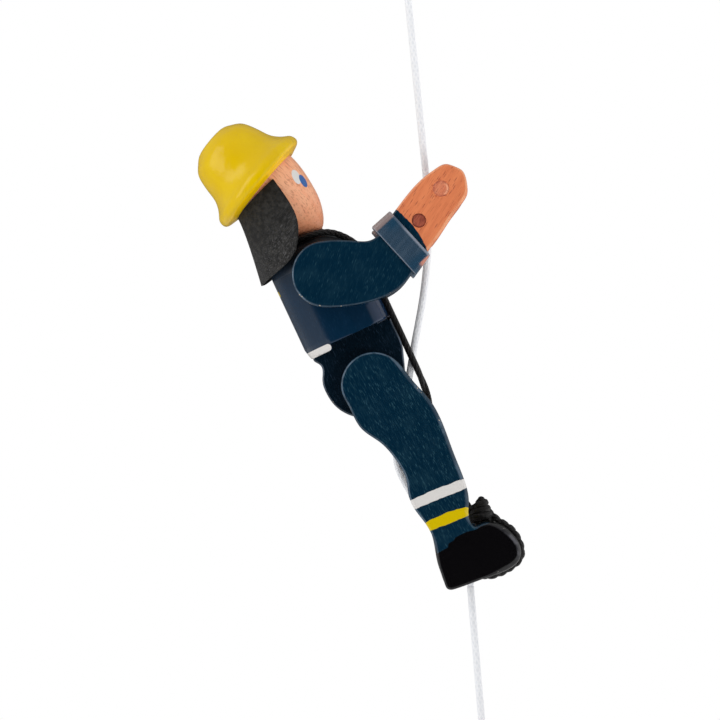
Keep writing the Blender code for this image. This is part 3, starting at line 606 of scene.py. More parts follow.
def flap_grid(rows, columns):
    """Angle round the head = half angle x across. The half angle narrows and the radius widens down to the
    hem."""
    down, across = np.meshgrid(np.linspace(0, 1, rows), np.linspace(-1, 1, columns), indexing="ij")
    angle = np.radians(102.5 - 23 * down - 20 * down**5) * across
    top = 1.6 + 1.9 * across**2
    hem = 26.4 + 5.2 * across**2 * (1 - across**4) + 1.8 * across**4
    depth = top + (hem - top) * down
    radius = FLAP_TOP + FLARE * down**1.15 * (0.36 + 0.64 * np.cos(angle) ** 2)
    radius += 0.25 * down**2 * np.sin(angle * 9) + 0.12 * down * np.sin(angle * 17 + 3 * down)
    return np.stack([-radius * np.cos(angle) + 0.35, radius * np.sin(angle), -depth], -1)


flap_points = flap_grid(60, 110)
flap_rides = ("torso", "flap_leather", "neck_flap")
flap = skin("neck_flap_leather", HEAD, [flap_points], flap_rides, wrap=False)
wall = flap.modifiers.new("thickness", "SOLIDIFY")
wall.thickness = 0.8 * MM
wall.offset = 0.0
wall.use_even_offset = True
soften = flap.modifiers.new("cut edges", "BEVEL")
soften.width = 0.2 * MM
soften.segments = 2
soften.limit_method = "ANGLE"
soften.angle_limit = math.radians(50)

# %% [markdown]
# ## Cuffs and dowels
#
# A clear, slightly smoky plastic band is pushed over each forearm. It is a slanted ring with a flat oval
# opening: a rounded rectangle carried round the wall's own small section.

# %% Cuffs
CUFF_LENGTH = 9.5
CUFF_WALL = 1.3
CUFF_EDGE = 0.5
CUFF_HALF_WIDE = 10.4
CUFF_HALF_THICK = 4.15
CUFF_CORNER = 0.9
CUFF_SHEAR = 0.207
CUFF_PLACE = ((30.4, 12.1), -47.4)
CUFF_MIDDLE = 19.65


def cuff_ring():
    """The opening and its outward directions: four quarter circles, and points on the lines between them."""
    a = np.radians(np.arange(0, 360, 3.0))
    out = np.stack([np.cos(a), np.sin(a)], -1)
    heart = np.sign(out + 1e-9) * (CUFF_HALF_WIDE - CUFF_CORNER, CUFF_HALF_THICK - CUFF_CORNER)
    ring = heart + CUFF_CORNER * out
    between_corners = np.linspace(0, 1, 12)[1:-1, None]
    points, outs = [], []
    for first, second in ((0, 30), (30, 60), (60, 90), (90, 120)):
        last, following = ring[second - 1], ring[second % 120]
        points += [ring[first:second], last + (following - last) * between_corners]
        halfway = (out[second - 1] + out[second % 120]) / 2
        outs += [out[first:second], np.repeat(halfway[None], 10, axis=0)]
    return np.vstack(points), unit(np.vstack(outs))


def cuff_grid(middle):
    """The opening, moved out by d. The section is d from 0 to the wall and z along, with rounded corners.
    The ring is sheared along the forearm, wider at the back towards the elbow, and turned square to it."""
    ring, out = cuff_ring()
    far, end = CUFF_WALL - CUFF_EDGE, CUFF_LENGTH / 2 - CUFF_EDGE
    corners = ((far, end, 0), (CUFF_EDGE, end, 90), (CUFF_EDGE, -end, 180), (far, -end, 270))
    section = np.vstack([arc(CUFF_EDGE, turn, turn + 90, 5, d, z) for d, z, turn in corners])
    d, z = np.vstack([section, section[:1]])[:, :, None].transpose(1, 0, 2)
    x = ring[None, :, 0] + d * out[None, :, 0] - CUFF_SHEAR * z
    x = x - 2.1 * (0.5 - z / CUFF_LENGTH) * ramp(-x / CUFF_HALF_WIDE)
    y = ring[None, :, 1] + d * out[None, :, 1]
    return leaning(np.stack([x, middle + y, z + 0 * x], -1), CUFF_PLACE)


cuffs = [
    skin(node + "_band", ARMS, [cuff_grid(middle)], ("arms", "cuff_blue", node))
    for node, middle in (("cuff_right", -CUFF_MIDDLE), ("cuff_left", CUFF_MIDDLE))
]

# %% [markdown]
# Dowels hold the boards together. Two of their ends show in the hand: one stands a hair proud with a
# pressed ring, the other is stained dark and a little sunk. The rest are hidden between the boards, but are
# made as well as these, with broken edges. The one in the neck has a waist, where the elastic goes round
# it.


# %% Dowels
def dowel(node, rod, half, place, ends, body, slot="beech_dowel"):
    """A turned rod across the boards, given as (x, z, diameter). ends are (radius share, height above the
    end), from the middle of an end to its side."""
    x, z, diameter = rod
    r = diameter / 2
    cap = [(share * r, rise) for share, rise in ends]
    profile = [(s, half + h) for s, h in cap] + [(s, -half - h) for s, h in cap[::-1]]
    grid = lathe(profile, 64)[..., [0, 2, 1]]
    return skin(node + "_turned", place, [grid + (x, 0, z)], (body, slot, node))


STAINED = "stained_dowel"
PLAIN_END = [(0, 0), (0.5, 0), (0.86, 0), (0.95, -0.08), (1, -0.3), (1, -1)]
RINGED_END = [(0, -0.12), (0.5, -0.1), (0.72, -0.08), (0.8, 0.08), (0.88, 0.12), (0.96, 0.06), (1, -0.02)]
RINGED_END += [(1, -1)]
SUNK_END = [(0, -0.25), (0.5, -0.22), (0.85, -0.25), (0.95, -0.35), (1, -0.5), (1, -1.2)]
IN_LEGS, IN_ARMS = 14.1, 21.3
dowel_upper = dowel("hand_dowel_upper", HAND_DOWEL_UPPER, ARM_OUTSIDE, ARMS, RINGED_END, "arms")
dowel_lower = dowel("hand_dowel_lower", HAND_DOWEL_LOWER, ARM_OUTSIDE, ARMS, SUNK_END, "arms", STAINED)
knee_dowel = dowel("knee_dowel", (13.6, -31.0, 5.0), IN_LEGS, LEGS, PLAIN_END, "legs")
ankle_dowel = dowel("ankle_dowel", (32.5, -67.4, 6.0), IN_LEGS, LEGS, PLAIN_END, "legs")
hip_axle = dowel("hip_axle", (0, 0, 6.0), IN_LEGS, LEGS, PLAIN_END, "legs")
shoulder_axle = dowel("shoulder_axle", (0, 0, 6.0), IN_ARMS, ARMS, PLAIN_END, "arms")
NECK_HIGH, NECK_LOW, NECK_RADIUS = -18.0, -44.7, 2.5
NECK_WAIST = [(1, -28.2), (0.66, -28.9), (0.62, -30.0), (0.62, -33.0), (1, -34.5)]
neck_profile = [(share * NECK_RADIUS, NECK_HIGH + rise) for share, rise in PLAIN_END]
neck_profile += [(share * NECK_RADIUS, at) for share, at in NECK_WAIST]
neck_profile += [(share * NECK_RADIUS, NECK_LOW - rise) for share, rise in PLAIN_END[::-1]]
neck_grid = lathe(neck_profile, 64) + (0.35, 0, 0)
neck_dowel = skin("neck_dowel_turned", HEAD, [neck_grid], ("torso", "beech_dowel", "neck_dowel"))

# %% [markdown]
# ## The elastic
#
# A black braided elastic goes round the neck, down the front as two strands, twists at the shins, is
# knotted on the instep and goes round the toes. It is cord again, with a coarser braid that shows at its
# edges.

# %% Elastic
ELASTIC_RADIUS = 1.25
ELASTIC_STEP = 0.3
NECK_LOOP = [
    (-8.3, 0.0, 17.5), (-6.4, 5.4, 17.5), (-1.6, 8.2, 17.2), (4.5, 7.3, 16.5), (9.3, 4.7, 14.6),
    (12.4, 3.1, 12.0), (14.7, 2.2, 9.2), (16.6, 1.7, 5.9), (17.8, 1.45, 2.5), (17.95, 1.45, 0.15),
]
STRAND_MIDDLE = [
    (17.45, 0.3), (17.45, -19.0), (17.45, -34.5), (17.4, -44.9), (17.3, -53.0), (17.0, -57.4), (16.6, -61.5),
    (15.8, -66.5), (15.3, -72.0), (14.0, -84.0), (12.9, -95.0), (12.9, -108.0),
]
elastic_braid = braid(5, 2.6, 0.1)
left_side = np.array(NECK_LOOP)
neck_route = spline(np.vstack([left_side[:0:-1] * (1, -1, 1), left_side]), ELASTIC_STEP)
neck_grid = tube(neck_route, ELASTIC_RADIUS, 30, elastic_braid, (1, 1, 1))
neck_loop = skin("neck_loop_elastic", BODY, [neck_grid], ("torso", "elastic_black", "elastic_neck_loop"))
strand_route = spline(upright(STRAND_MIDDLE), ELASTIC_STEP)
TWIST_FROM = 52.0
TWIST_PITCH = 26


def strand(side):
    """Side by side down the body, parted where the cord crosses at any pose, then thinner and twisted."""
    down = -strand_route[:, 2]
    pulled = smooth((down - 48) / 14)
    parted = smooth((down - 1) / 7) * smooth((56 - down) / 10)
    spread = 1.45 - 0.65 * pulled + 1.42 * parted
    a = np.clip(down - TWIST_FROM, 0, None) * 2 * np.pi / TWIST_PITCH
    x = strand_route[:, 0] + side * 0.55 * np.sin(a)
    middle = np.stack([x, side * spread * np.cos(a), strand_route[:, 2]], -1)
    return tube(middle, ELASTIC_RADIUS - 0.5 * pulled, 30, elastic_braid)


strands = []
for name, side in (("elastic_strand_right", -1), ("elastic_strand_left", 1)):
    piece = skin(name + "_braid", BODY, [strand(side)], ("elastic", "elastic_black", name))
    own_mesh(piece)
    strands.append(piece)

# %% [markdown]
# Its knot on the instep is a few tight turns round the two strands, narrower at the top, where a short end
# stands up. Below it the elastic goes round the toes as two plies twisted together, which gives its bumpy
# edge.

# %% Knot and toe loop
COIL_TURNS = 3.4
COIL_HEIGHT = 8.0
rising = np.linspace(0, 1, 230)
reach = 3.6 * (1 - rising) ** 0.8 + 1.0
a = 2 * np.pi * COIL_TURNS * rising
coil_x = 42.3 + 0.6 * rising + reach * np.cos(a)
coil_z = -54.6 + COIL_HEIGHT * rising + 0.5 * np.cos(a + 0.6)
coil = np.stack([coil_x, 0.8 * reach * np.sin(a), coil_z], -1)
KNOT_CORE = [
    (37.6, -0.6, -50.2), (39.6, -0.2, -49.6), (41.6, 0.0, -48.6), (42.9, 0.2, -46.6), (43.1, 0.4, -45.9),
]
KNOT_BACK = [
    (40.4, 1.2, -55.0), (41.6, 0.4, -51.5), (43.2, -0.4, -49.2), (45.2, 0.2, -51.6), (45.6, 0.6, -55.0),
]
knot_grids = [
    tube(coil, 1.45, 24, elastic_braid, (0.0, 0.1, 1.0)),
    tube(spline(KNOT_CORE, ELASTIC_STEP), 1.5, 24, elastic_braid, dome=0.8),
    tube(spline(KNOT_BACK, ELASTIC_STEP), 1.7, 24, elastic_braid),
]
instep_knot = skin("instep_knot_elastic", LEGS, knot_grids, ("legs", "elastic_black", "elastic_knot"))

TOE_LOOP = [
    (42.6, -49.4), (45.4, -50.4), (49.3, -53.8), (52.3, -55.7), (56.0, -58.8), (58.5, -63.4), (59.2, -66.2),
    (58.3, -70.0), (56.1, -72.2), (52.2, -74.7), (47.9, -76.3), (43.4, -76.2), (41.4, -73.6), (41.4, -66.0),
    (41.4, -58.5), (41.5, -55.6),
]
toe_route = spline(upright(TOE_LOOP), ELASTIC_STEP)


def plied(route, phase, offset=0.48, pitch=7.5):
    """A ply wound round the middle line: moved off it by a turning offset, in and across its plane."""
    line = unit(np.gradient(route, axis=0))
    out = np.stack([-line[:, 2], 0 * line[:, 0], line[:, 0]], -1)
    a = 2 * np.pi * np.arange(len(route)) * ELASTIC_STEP / pitch + phase
    return route + offset * (np.cos(a)[:, None] * out + np.sin(a)[:, None] * np.array([0, 1, 0]))


plies = [tube(plied(toe_route, phase), 0.92, 20, braid(4, 1.8, 0.06)) for phase in (0, np.pi)]
toe_loop = skin("toe_loop_elastic", LEGS, plies, ("legs", "elastic_black", "elastic_toe_loop"))

# %% [markdown]
# ## Finishes as Python
#
# A finish is a small network of shader nodes. Written with Python's own operators it stays readable: a
# class wraps one socket, and adding, multiplying or comparing it adds the Math node that does so.


# %% Shader maths
def math_node(operation, swapped=False):
    """A method that joins two numbers, one of them varying, by a Math node."""

    def join(self, other):
        first, second = (other, self) if swapped else (self, other)
        return self.finish.math(operation, first, second)

    return join


class Varying:
    """A number that changes over a surface."""

    def __init__(self, finish, socket):
        self.finish, self.socket = finish, socket

    __add__ = __radd__ = math_node("ADD")
    __mul__ = __rmul__ = math_node("MULTIPLY")
    __sub__ = math_node("SUBTRACT")
    __rsub__ = math_node("SUBTRACT", swapped=True)
    __truediv__ = math_node("DIVIDE")
    __pow__ = math_node("POWER")
    most = math_node("MAXIMUM")
    least = math_node("MINIMUM")

    def rise(self, low, high):
        """0 below low, 1 above high, and a smooth step between. low may be the larger one."""
        sockets = {"Value": self, "From Min": low, "From Max": high}
        node = self.finish.node("ShaderNodeMapRange", {"interpolation_type": "SMOOTHSTEP"}, sockets)
        return Varying(self.finish, node.outputs[0])


# %% [markdown]
# A finish holds its nodes and adds to them: noise, spots and streaks in the piece's own millimetres, or in
# those of a leaning frame. When it is written it dresses its pieces.


# %% A finish
class Finish:
    """A material being written: its nodes, and the Principled shader that they feed."""

    def __init__(self, name, tree=None):
        if tree is None:
            self.material = bpy.data.materials.new(name)
            self.material.use_nodes = True
            tree = self.material.node_tree
            self.shader = tree.nodes["Principled BSDF"]
        self.tree = tree

    def node(self, kind, settings=None, sockets=None):
        """Adds a node: its settings first, then the values or links of its sockets, by name or number."""
        node = self.tree.nodes.new(kind)
        for key, value in (settings or {}).items():
            setattr(node, key, value)
        for key, value in (sockets or {}).items():
            self.feed(node.inputs[key], value)
        return node

    def feed(self, socket, value):
        """Links a socket to a varying number or another socket, or sets its plain value."""
        if isinstance(value, Varying):
            value = value.socket
        if isinstance(value, bpy.types.NodeSocket):
            self.tree.links.new(value, socket)
        else:
            socket.default_value = value

    def math(self, operation, first, second):
        node = self.node("ShaderNodeMath", {"operation": operation}, {0: first, 1: second})
        return Varying(self, node.outputs[0])

    def split(self, vector):
        """The three numbers of a vector or a colour."""
        parts = self.node("ShaderNodeSeparateXYZ", None, {0: vector}).outputs
        return [Varying(self, part) for part in parts]

    def at(self, place=MODEL, turn=0.0, stretch=(1.0, 1.0, 1.0)):
        """The surface's own coordinates in millimetres, seen from a leaning frame, then turned about Y and
        measured in stretched units. A grain runs along the turned Z, a stripe along the turned X."""
        (x0, z0), lean = place
        sockets = {
            "Vector": self.node("ShaderNodeTexCoord").outputs["Object"],
            "Location": (x0 * MM, 0.0, z0 * MM),
            "Rotation": (0.0, math.radians(-lean), 0.0),
            "Scale": (MM, MM, MM),
        }
        local = self.node("ShaderNodeMapping", {"vector_type": "TEXTURE"}, sockets).outputs[0]
        sockets = {"Vector": local, "Rotation": (0.0, math.radians(turn), 0.0), "Scale": stretch}
        return self.node("ShaderNodeMapping", {"vector_type": "TEXTURE"}, sockets).outputs[0]

    def axes(self, place, turn=0.0):
        """The three coordinates in a leaning frame, in millimetres."""
        return self.split(self.at(place, turn))

    def from_line(self, x0, z0):
        """How far a point is from a line that runs across the figure, along Y."""
        x, _, z = self.axes(((x0, z0), 0.0))
        return (x * x + z * z) ** 0.5

    def noise(self, scale, detail=2.0, roughness=0.5, distortion=0.0, vector=None):
        """Cloudy noise, scale cells to the millimetre."""
        sockets = {"Vector": vector or self.at(), "Scale": scale, "Detail": detail, "Roughness": roughness}
        node = self.node("ShaderNodeTexNoise", None, sockets | {"Distortion": distortion})
        return Varying(self, node.outputs[0])

    def streaks(self, turn, stretch, detail=2.0, roughness=0.5, distortion=0.0, place=MODEL):
        """Noise with its cells stretched to these millimetres in turned axes."""
        return self.noise(1.0, detail, roughness, distortion, self.at(place, turn, stretch))

    def spots(self, scale, vector=None):
        """How far each place is from the nearest of many scattered points, and a random number for it."""
        sockets = {"Vector": vector or self.at(), "Scale": scale, "Randomness": 1.0}
        node = self.node("ShaderNodeTexVoronoi", None, sockets)
        return Varying(self, node.outputs["Distance"]), self.split(node.outputs["Color"])[0]

    def attribute(self, name):
        return Varying(self, self.node("ShaderNodeAttribute", {"attribute_name": name}).outputs["Fac"])

    def line(self, value, stops):
        """A height read off the line through (position, height) stops."""
        node = self.node("ShaderNodeValToRGB", None, {0: value})
        elements = node.color_ramp.elements
        for position, grey in stops[1:-1]:
            elements.new(position).color = (grey, grey, grey, 1)
        for element, (position, grey) in ((elements[0], stops[0]), (elements[-1], stops[-1])):
            element.position, element.color = position, (grey, grey, grey, 1)
        return self.split(node.outputs[0])[0]

    def dress(self, pieces, height=None, depth=0.0, **values):
        """Feeds the shader's inputs, raises the surface by height times depth in millimetres, and gives the
        finish to the pieces."""
        for name, value in values.items():
            self.feed(self.shader.inputs[name.replace("_", " ")], value)
        if height is not None:
            raised = self.node("ShaderNodeBump", None, {"Height": height, "Distance": depth * MM})
            self.feed(self.shader.inputs["Normal"], raised.outputs[0])
        for piece in pieces:
            piece.data.materials.append(self.material)
        print(self.material.name, "on", [piece.name for piece in pieces])


# %% [markdown]
# Paint is built up in coats, so a colour is too: each coat covers the ones below by an amount that varies.


# %% Colours
def coats(colour, *more):
    """A colour with others over it, each given as the colour and the varying amount by which it covers."""
    for above, amount in more:
        sockets = {0: amount, 6: colour, 7: above}
        colour = amount.finish.node("ShaderNodeMix", {"data_type": "RGBA"}, sockets).outputs[2]
    return colour


def between(value, low, high, soft=0.12):
    """1 where a value lies between two others, with a soft step at each."""
    return value.rise(low - soft, low + soft) * value.rise(high + soft, high - soft)


def rgb(red, green, blue):
    """A colour as a picture's 0 to 255 values, turned into the linear light that shaders use."""
    share = np.array([red, green, blue]) / 255
    linear = np.where(share <= 0.04045, share / 12.92, ((share + 0.055) / 1.055) ** 2.4)
    return (*linear.tolist(), 1.0)


# %% [markdown]
# ## Beech
#
# Beech is pale orange-brown once lacquered, with short dark flecks along the grain, which are cut rays and
# pores, and faint broad growth bands. Noise that is stretched along the grain gives both. The flecks are
# sunk a little.

# %% Wood
BEECH = rgb(230, 136, 90)
BEECH_BAND = rgb(212, 116, 76)
BEECH_FLECK = rgb(150, 66, 40)


def wood(finish, grain, place=MODEL, flecked=0.6, base=BEECH, band=BEECH_BAND, fleck=BEECH_FLECK):
    """Beech's colour and height: broad bands, fine fibres and short flecks along a grain, in degrees from
    X to Z."""
    turn = 90.0 - grain
    bands = finish.streaks(turn, (2.2, 3.0, 26.0), place=place)
    fibres = finish.streaks(turn, (0.3, 0.5, 6.0), 3.0, 0.6, place=place)
    distance, lot = finish.spots(1.0, finish.at(place, turn, (0.6, 0.6, 4.2)))
    flecks = distance.rise(0.38, 0.12) * lot.rise(0.35, 0.75)
    broad, fine = bands.rise(0.35, 0.7) * 0.6, fibres.rise(0.48, 0.75) * 0.4
    return coats(base, (band, broad), (fleck, fine), (fleck, flecks * flecked)), fibres * 0.5 - flecks


# %% [markdown]
# ## Coloured lacquer
#
# The clothes are lacquered on beech in one thin coat. The grain still shows as fine pale strokes where the
# lacquer sank, the rounded edges carry a painted highlight, and a few chips on them go down to the wood.

# %% Lacquer
NAVY = rgb(0, 34, 54)
NAVY_STROKE = rgb(58, 98, 112)
# the colour of the painted highlight along the navy boards' rounded edges
NAVY_EDGE_HIGHLIGHT = rgb(104, 126, 146)
WOOD_CHIP = rgb(205, 190, 165)
WHITE = rgb(222, 219, 216)
YELLOW = rgb(214, 186, 0)
BLACK = rgb(7, 6, 8)


def lacquer(finish, grain, base=NAVY, stroke=NAVY_STROKE, strokes=0.5):
    """A thin coat over grain: the base colour, cloudy, with fine pale strokes. Returns colour and height."""
    turn = 90.0 - grain
    cloud = finish.noise(0.12, 3.0)
    distance, lot = finish.spots(1.0, finish.at(turn=turn, stretch=(0.5, 0.5, 2.6)))
    marks = distance.rise(0.42, 0.12) * lot.rise(0.35, 0.85)
    fibres = finish.streaks(turn, (0.26, 0.4, 3.4), 3.0, 0.65)
    fine = (fibres.rise(0.5, 0.7) * 0.5 * strokes + marks * strokes).least(1.0)
    return coats(base, (stroke, cloud.rise(0.45, 0.9) * 0.12), (stroke, fine)), fibres * 0.5 - marks * 0.4


def wear_and_edge_highlight(finish, colour, line=NAVY_EDGE_HIGHLIGHT, chip=WOOD_CHIP, amount=0.6):
    """A painted highlight along the rounded edges, broken up by noise, with a few chips of real wear."""
    edge = finish.attribute("edge")
    patchy = finish.noise(0.22, 3.0).rise(0.4, 0.6)
    edge_highlight = between(edge, 0.12, 0.62, 0.1) * (patchy * 0.7 + 0.3) * amount
    chipped = finish.noise(0.7).rise(0.7, 0.73) * between(edge, 0.25, 0.75)
    return coats(colour, (line, edge_highlight), (chip, chipped))


# %% [markdown]
# The arm is navy from the shoulder to just past the cuff, and ends there in a brushed curve, part of a
# circle about the elbow. The hand beyond is bare beech under clear lacquer, with a painted highlight on its
# rounded edges and a painted shade on its sawn sides. Round the upper dowel the wood has cracked a little
# where the dowel was driven in. The painted highlight is palest on the shoulder's edge.

# %% Arm finish
UPPER_END = (ARMS[0][0] + HAND_DOWEL_UPPER[0], ARMS[0][1] + HAND_DOWEL_UPPER[1])
LOWER_END = (ARMS[0][0] + HAND_DOWEL_LOWER[0], ARMS[0][1] + HAND_DOWEL_LOWER[1])
SLEEVE_CENTRE = (-22.7, -144.0)
SLEEVE_RADIUS = 35.2
finish = Finish("arm_finish")
navy, navy_height = lacquer(finish, 72, strokes=0.26)
x, _, z = finish.axes(ARMS)
# painted highlight along the navy edges, palest at the shoulder's lower edge, with a few chips
navy = wear_and_edge_highlight(finish, navy, amount=0.12 + 0.48 * (x + z * 0.15).rise(-3.0, -9.0))
bare, bare_height = wood(finish, 57, flecked=0.72)
# painted shade: the hand's sawn sides are darker brown
bare = coats(bare, (rgb(176, 84, 52), between(finish.attribute("edge"), 0.75, 1.1, 0.1) * 0.5))
# painted highlight along the hand's rounded edges, with a few chips
bare = wear_and_edge_highlight(finish, bare, rgb(244, 172, 128), rgb(248, 180, 140), 0.75)
cracks = finish.noise(0.9, 3.0).rise(0.54, 0.62) * finish.from_line(*UPPER_END).rise(4.6, 3.3)
bare = coats(bare, (rgb(170, 70, 46), cracks * 0.6))
ragged = finish.from_line(*SLEEVE_CENTRE) + finish.noise(0.7) * 0.7
hand = ragged.rise(SLEEVE_RADIUS, SLEEVE_RADIUS + 0.25)
height = navy_height * (1 - hand) * 0.5 + bare_height * hand
roughness = 0.2 + 0.16 * hand
colour = coats(navy, (bare, hand))
finish.dress(arms, height, 0.06, Base_Color=colour, Roughness=roughness, Specular_IOR_Level=0.4)

# %% [markdown]
# The leg has a white and a yellow stripe at the shin, brushed on by hand, so their edges bow and wander.
# Each is written in its own tilted axes, s along and n across, as the band between two curves n(s). The
# line between trouser and boot is brushed too: a ramp holds its height along s. The rounded edges carry a
# painted highlight, and the black has a grey painted reflection round the toe.

# %% Leg finish
BOOT_LINE = [(0.0, 0.0), (0.16, 0.02), (0.2, 0.55), (0.3, 0.6), (0.35, 1.0), (0.55, 0.85), (0.72, 0.4)]
BOOT_LINE += [(0.8, 0.6), (1.0, 0.1)]
BOOT_LINE_LONG, BOOT_LINE_HIGH = 24.0, 2.2
finish = Finish("leg_finish")
navy, navy_height = lacquer(finish, 118)
x, _, z = finish.axes(LEGS)
front = (x * 0.93 + z * 0.36).rise(12.0, 20.0)
# painted highlight along the rounded edges, weaker towards the front and the foot
navy = wear_and_edge_highlight(finish, navy, amount=0.52 - 0.1 * front - 0.34 * x.rise(34.0, 38.0))
# painted reflection: grey on the boot's rounded edges, strongest round the toe
toe = x.rise(46.0, 53.0) * between(z, -69.0, -58.0, 3.0)
black = wear_and_edge_highlight(finish, BLACK, rgb(92, 92, 98), rgb(120, 116, 112), 0.12 + 0.78 * toe)
wander = (finish.noise(0.3) - 0.5) * 0.9
s, _, n = finish.axes(((14.5, -227.0), 0.0), -22.2)
white_stripe = between(n + wander, -2.3, 1.93 - 0.0045 * s * s)
s, _, n = finish.axes(((18.0, -237.0), 0.0), -21.5)
past = (s - 8.2).most(0.0)
yellow_top = 2.2 - 0.0085 * s * s - 0.45 * past * past
yellow_stripe = between(n + wander, -2.0 + 0.35 * past * past, yellow_top) * s.rise(10.8, 10.3)
s, _, n = finish.axes(((15.0, -250.1), 0.0), -28.5)
boot_top = finish.line(s / BOOT_LINE_LONG, BOOT_LINE) * BOOT_LINE_HIGH + wander * 0.5
boot = n.rise(boot_top + 0.05, boot_top - 0.15)
colour = coats(navy, (WHITE, white_stripe), (YELLOW, yellow_stripe), (black, boot))
height = navy_height * (1 - boot * 0.8) * 0.5 + (white_stripe + yellow_stripe + boot) * 0.6
roughness = 0.2 - 0.04 * boot + 0.15 * white_stripe
finish.dress(legs, height, 0.06, Base_Color=colour, Roughness=roughness, Specular_IOR_Level=0.4)

# %% [markdown]
# The body is the same navy, sprayed thicker and glossier, so little grain shows. Its round front is painted
# paler, a painted reflection, and its dome is painted near black, a painted shade under the flap and head.
# A dab of yellow was left on its back. The pelvis is painted darker, a painted shade under the jacket, and
# its edges carry a painted highlight. The dowels at the neck and the knee get the same dark navy, a painted
# shade between the boards. A white band at the hem wraps round the pelvis's back edge.


# %% Body finish
def hem_mark(x, z):
    """A brushed band with a round end: it is under 1.45 from the line z = -26.45 behind x = -11.3."""
    past, off = (x + 11.3).most(0.0), z + 26.45
    return (past * past + off * off).rise(2.25, 1.95)


finish = Finish("body_finish")
navy, navy_height = lacquer(finish, 115, rgb(3, 36, 60), rgb(30, 60, 88), 0.3)
x, _, z = finish.axes(BODY)
navy = coats(
    navy,
    # painted reflection: paler blue-grey on the round front
    (rgb(30, 48, 78), x.rise(8.5, 12.0) * 0.6),
    # painted shade: near black on the dome, under the flap and the head
    (rgb(3, 7, 11), z.rise(6.0, 13.0) * 0.85),
    (YELLOW, x.rise(-19.6, -19.85) * between(z, 0.0, 2.0, 0.3)),
    (WHITE, hem_mark(x, z)),
)
roughness = 0.2 + 0.5 * z.rise(5.0, 11.0)
finish.dress([torso], navy_height, 0.02, Base_Color=navy, Roughness=roughness, Specular_IOR_Level=0.45)

finish = Finish("pelvis_finish")
# painted shade: a darker navy for the pelvis under the jacket, also on the neck and knee dowels
navy, navy_height = lacquer(finish, 115, rgb(2, 18, 30), rgb(50, 66, 84), 0.4)
# painted highlight along the pelvis's rounded edges, with a few chips
navy = wear_and_edge_highlight(finish, navy, rgb(84, 96, 112), WOOD_CHIP, 0.8)
x, _, z = finish.axes(BODY)
band = hem_mark(x, z)
navy, height = coats(navy, (WHITE, band)), navy_height * 0.3 + band * 0.6
painted = [pelvis, neck_dowel, knee_dowel]
finish.dress(painted, height, 0.06, Base_Color=navy, Roughness=0.2, Specular_IOR_Level=0.4)

# %% [markdown]
# The head is beech too, painted redder and darker towards the chin and under the flap, a painted shade.
# The eyes are two brushed ovals, white with blue over it, drawn on the side view and so on both sides alike.


# %% Head finish
def oval(finish, middle, lean, long, short):
    """1 inside an ellipse of the side view: (s / long)^2 + (n / short)^2 < 1, a little out of true."""
    x0, z0 = leaning((middle[0], 0.0, middle[1]), HEAD)[[0, 2]]
    s, _, n = finish.axes(((x0, z0), HEAD[1]), -lean)
    s, n = s / long, n / short
    return (s * s + n * n).rise(1.06, 0.94)


finish = Finish("head_finish")
bare, bare_height = wood(finish, 90, HEAD, 0.14, rgb(255, 188, 146), rgb(252, 170, 127), rgb(206, 118, 88))
lines = finish.streaks(0.0, (0.6, 0.6, 16.0), 2.0, 0.6, 0.4, HEAD)
u, _, h = finish.axes(HEAD)
# painted shade: redder and darker towards the chin and under the flap
chin_and_flap_shade = h.rise(-16.0, -30.0) * 0.3 + u.rise(4.0, -6.0) * 0.2
eye_white = oval(finish, (10.7, -9.6), 63.9, 3.1, 1.45)
eye_blue = oval(finish, (11.3, -12.6), 68.3, 2.8, 1.1)
bare = coats(bare, (rgb(176, 86, 58), lines.rise(0.54, 0.66) * 0.5), (rgb(250, 146, 100), chin_and_flap_shade))
face = coats(bare, (rgb(228, 228, 226), eye_white), (rgb(40, 98, 170), eye_blue))
height = bare_height * (1 - eye_white) * 0.5 + (eye_white + eye_blue) * 0.5
finish.dress([head], height, 0.08, Base_Color=face, Roughness=0.36)

# %% [markdown]
# The helmet has a thick coat of yellow lacquer that holds a few specks of dust. It is painted brighter and
# warmer under the rim, a painted light from below. Inside, the coat is thinner and shows the wood.

# %% Helmet finish
HOLLOW_RADIUS, HOLLOW_HEIGHT = 17.0, 15.3
finish = Finish("helmet_finish")
u, v, h = finish.axes(HEAD)
cloud = finish.noise(0.09, 3.0)
across = (u * u + v * v) ** 0.5 / HOLLOW_RADIUS
inside = (across**3 + (h.most(0.0) / HOLLOW_HEIGHT) ** 3).rise(1.0, 0.97)
thin_coat, _ = wood(finish, 90, HEAD, 0.5, rgb(236, 196, 30), rgb(226, 180, 30), rgb(196, 140, 40))
# painted light: brighter yellow on the rim's underside
paler, underside_light = (rgb(232, 195, 0), cloud.rise(0.4, 0.75)), (rgb(255, 206, 0), h.rise(0.2, -0.8))
coat = coats(rgb(226, 187, 0), paler, underside_light, (thin_coat, inside))
distance, lot = finish.spots(0.22)
dust = distance.rise(0.13, 0.05) * lot.rise(0.7, 0.75)
height = dust * 0.35 + finish.noise(0.16) * 1.2
finish.dress([helmet], height, 0.35, Base_Color=coat, Roughness=0.17 + cloud * 0.08, Specular_IOR_Level=0.31)

# %% [markdown]
# The flap is soft split leather, near black, with a short nap. It is mottled, and brushed the wrong way in
# places, which shows as pale hair-like strokes across the lower half.

# %% Flap finish
finish = Finish("flap_finish")
_, _, h = finish.axes(HEAD)
mottle = finish.noise(0.5, 4.0, 0.65)
pebble, _ = finish.spots(1.3)
nap = finish.streaks(34.0, (0.26, 0.3, 2.8), 3.0, 0.6, 0.3)
strokes = nap.rise(0.5, 0.7) * h.rise(-9.0, -24.0) * 0.65
charcoal = coats(rgb(8, 8, 8), (rgb(43, 42, 40), mottle.rise(0.38, 0.66)), (rgb(104, 103, 105), strokes))
height = mottle + pebble * 0.6 + nap * 0.8
finish.dress([flap], height, 0.22, Base_Color=charcoal, Roughness=0.7 + mottle * 0.2)

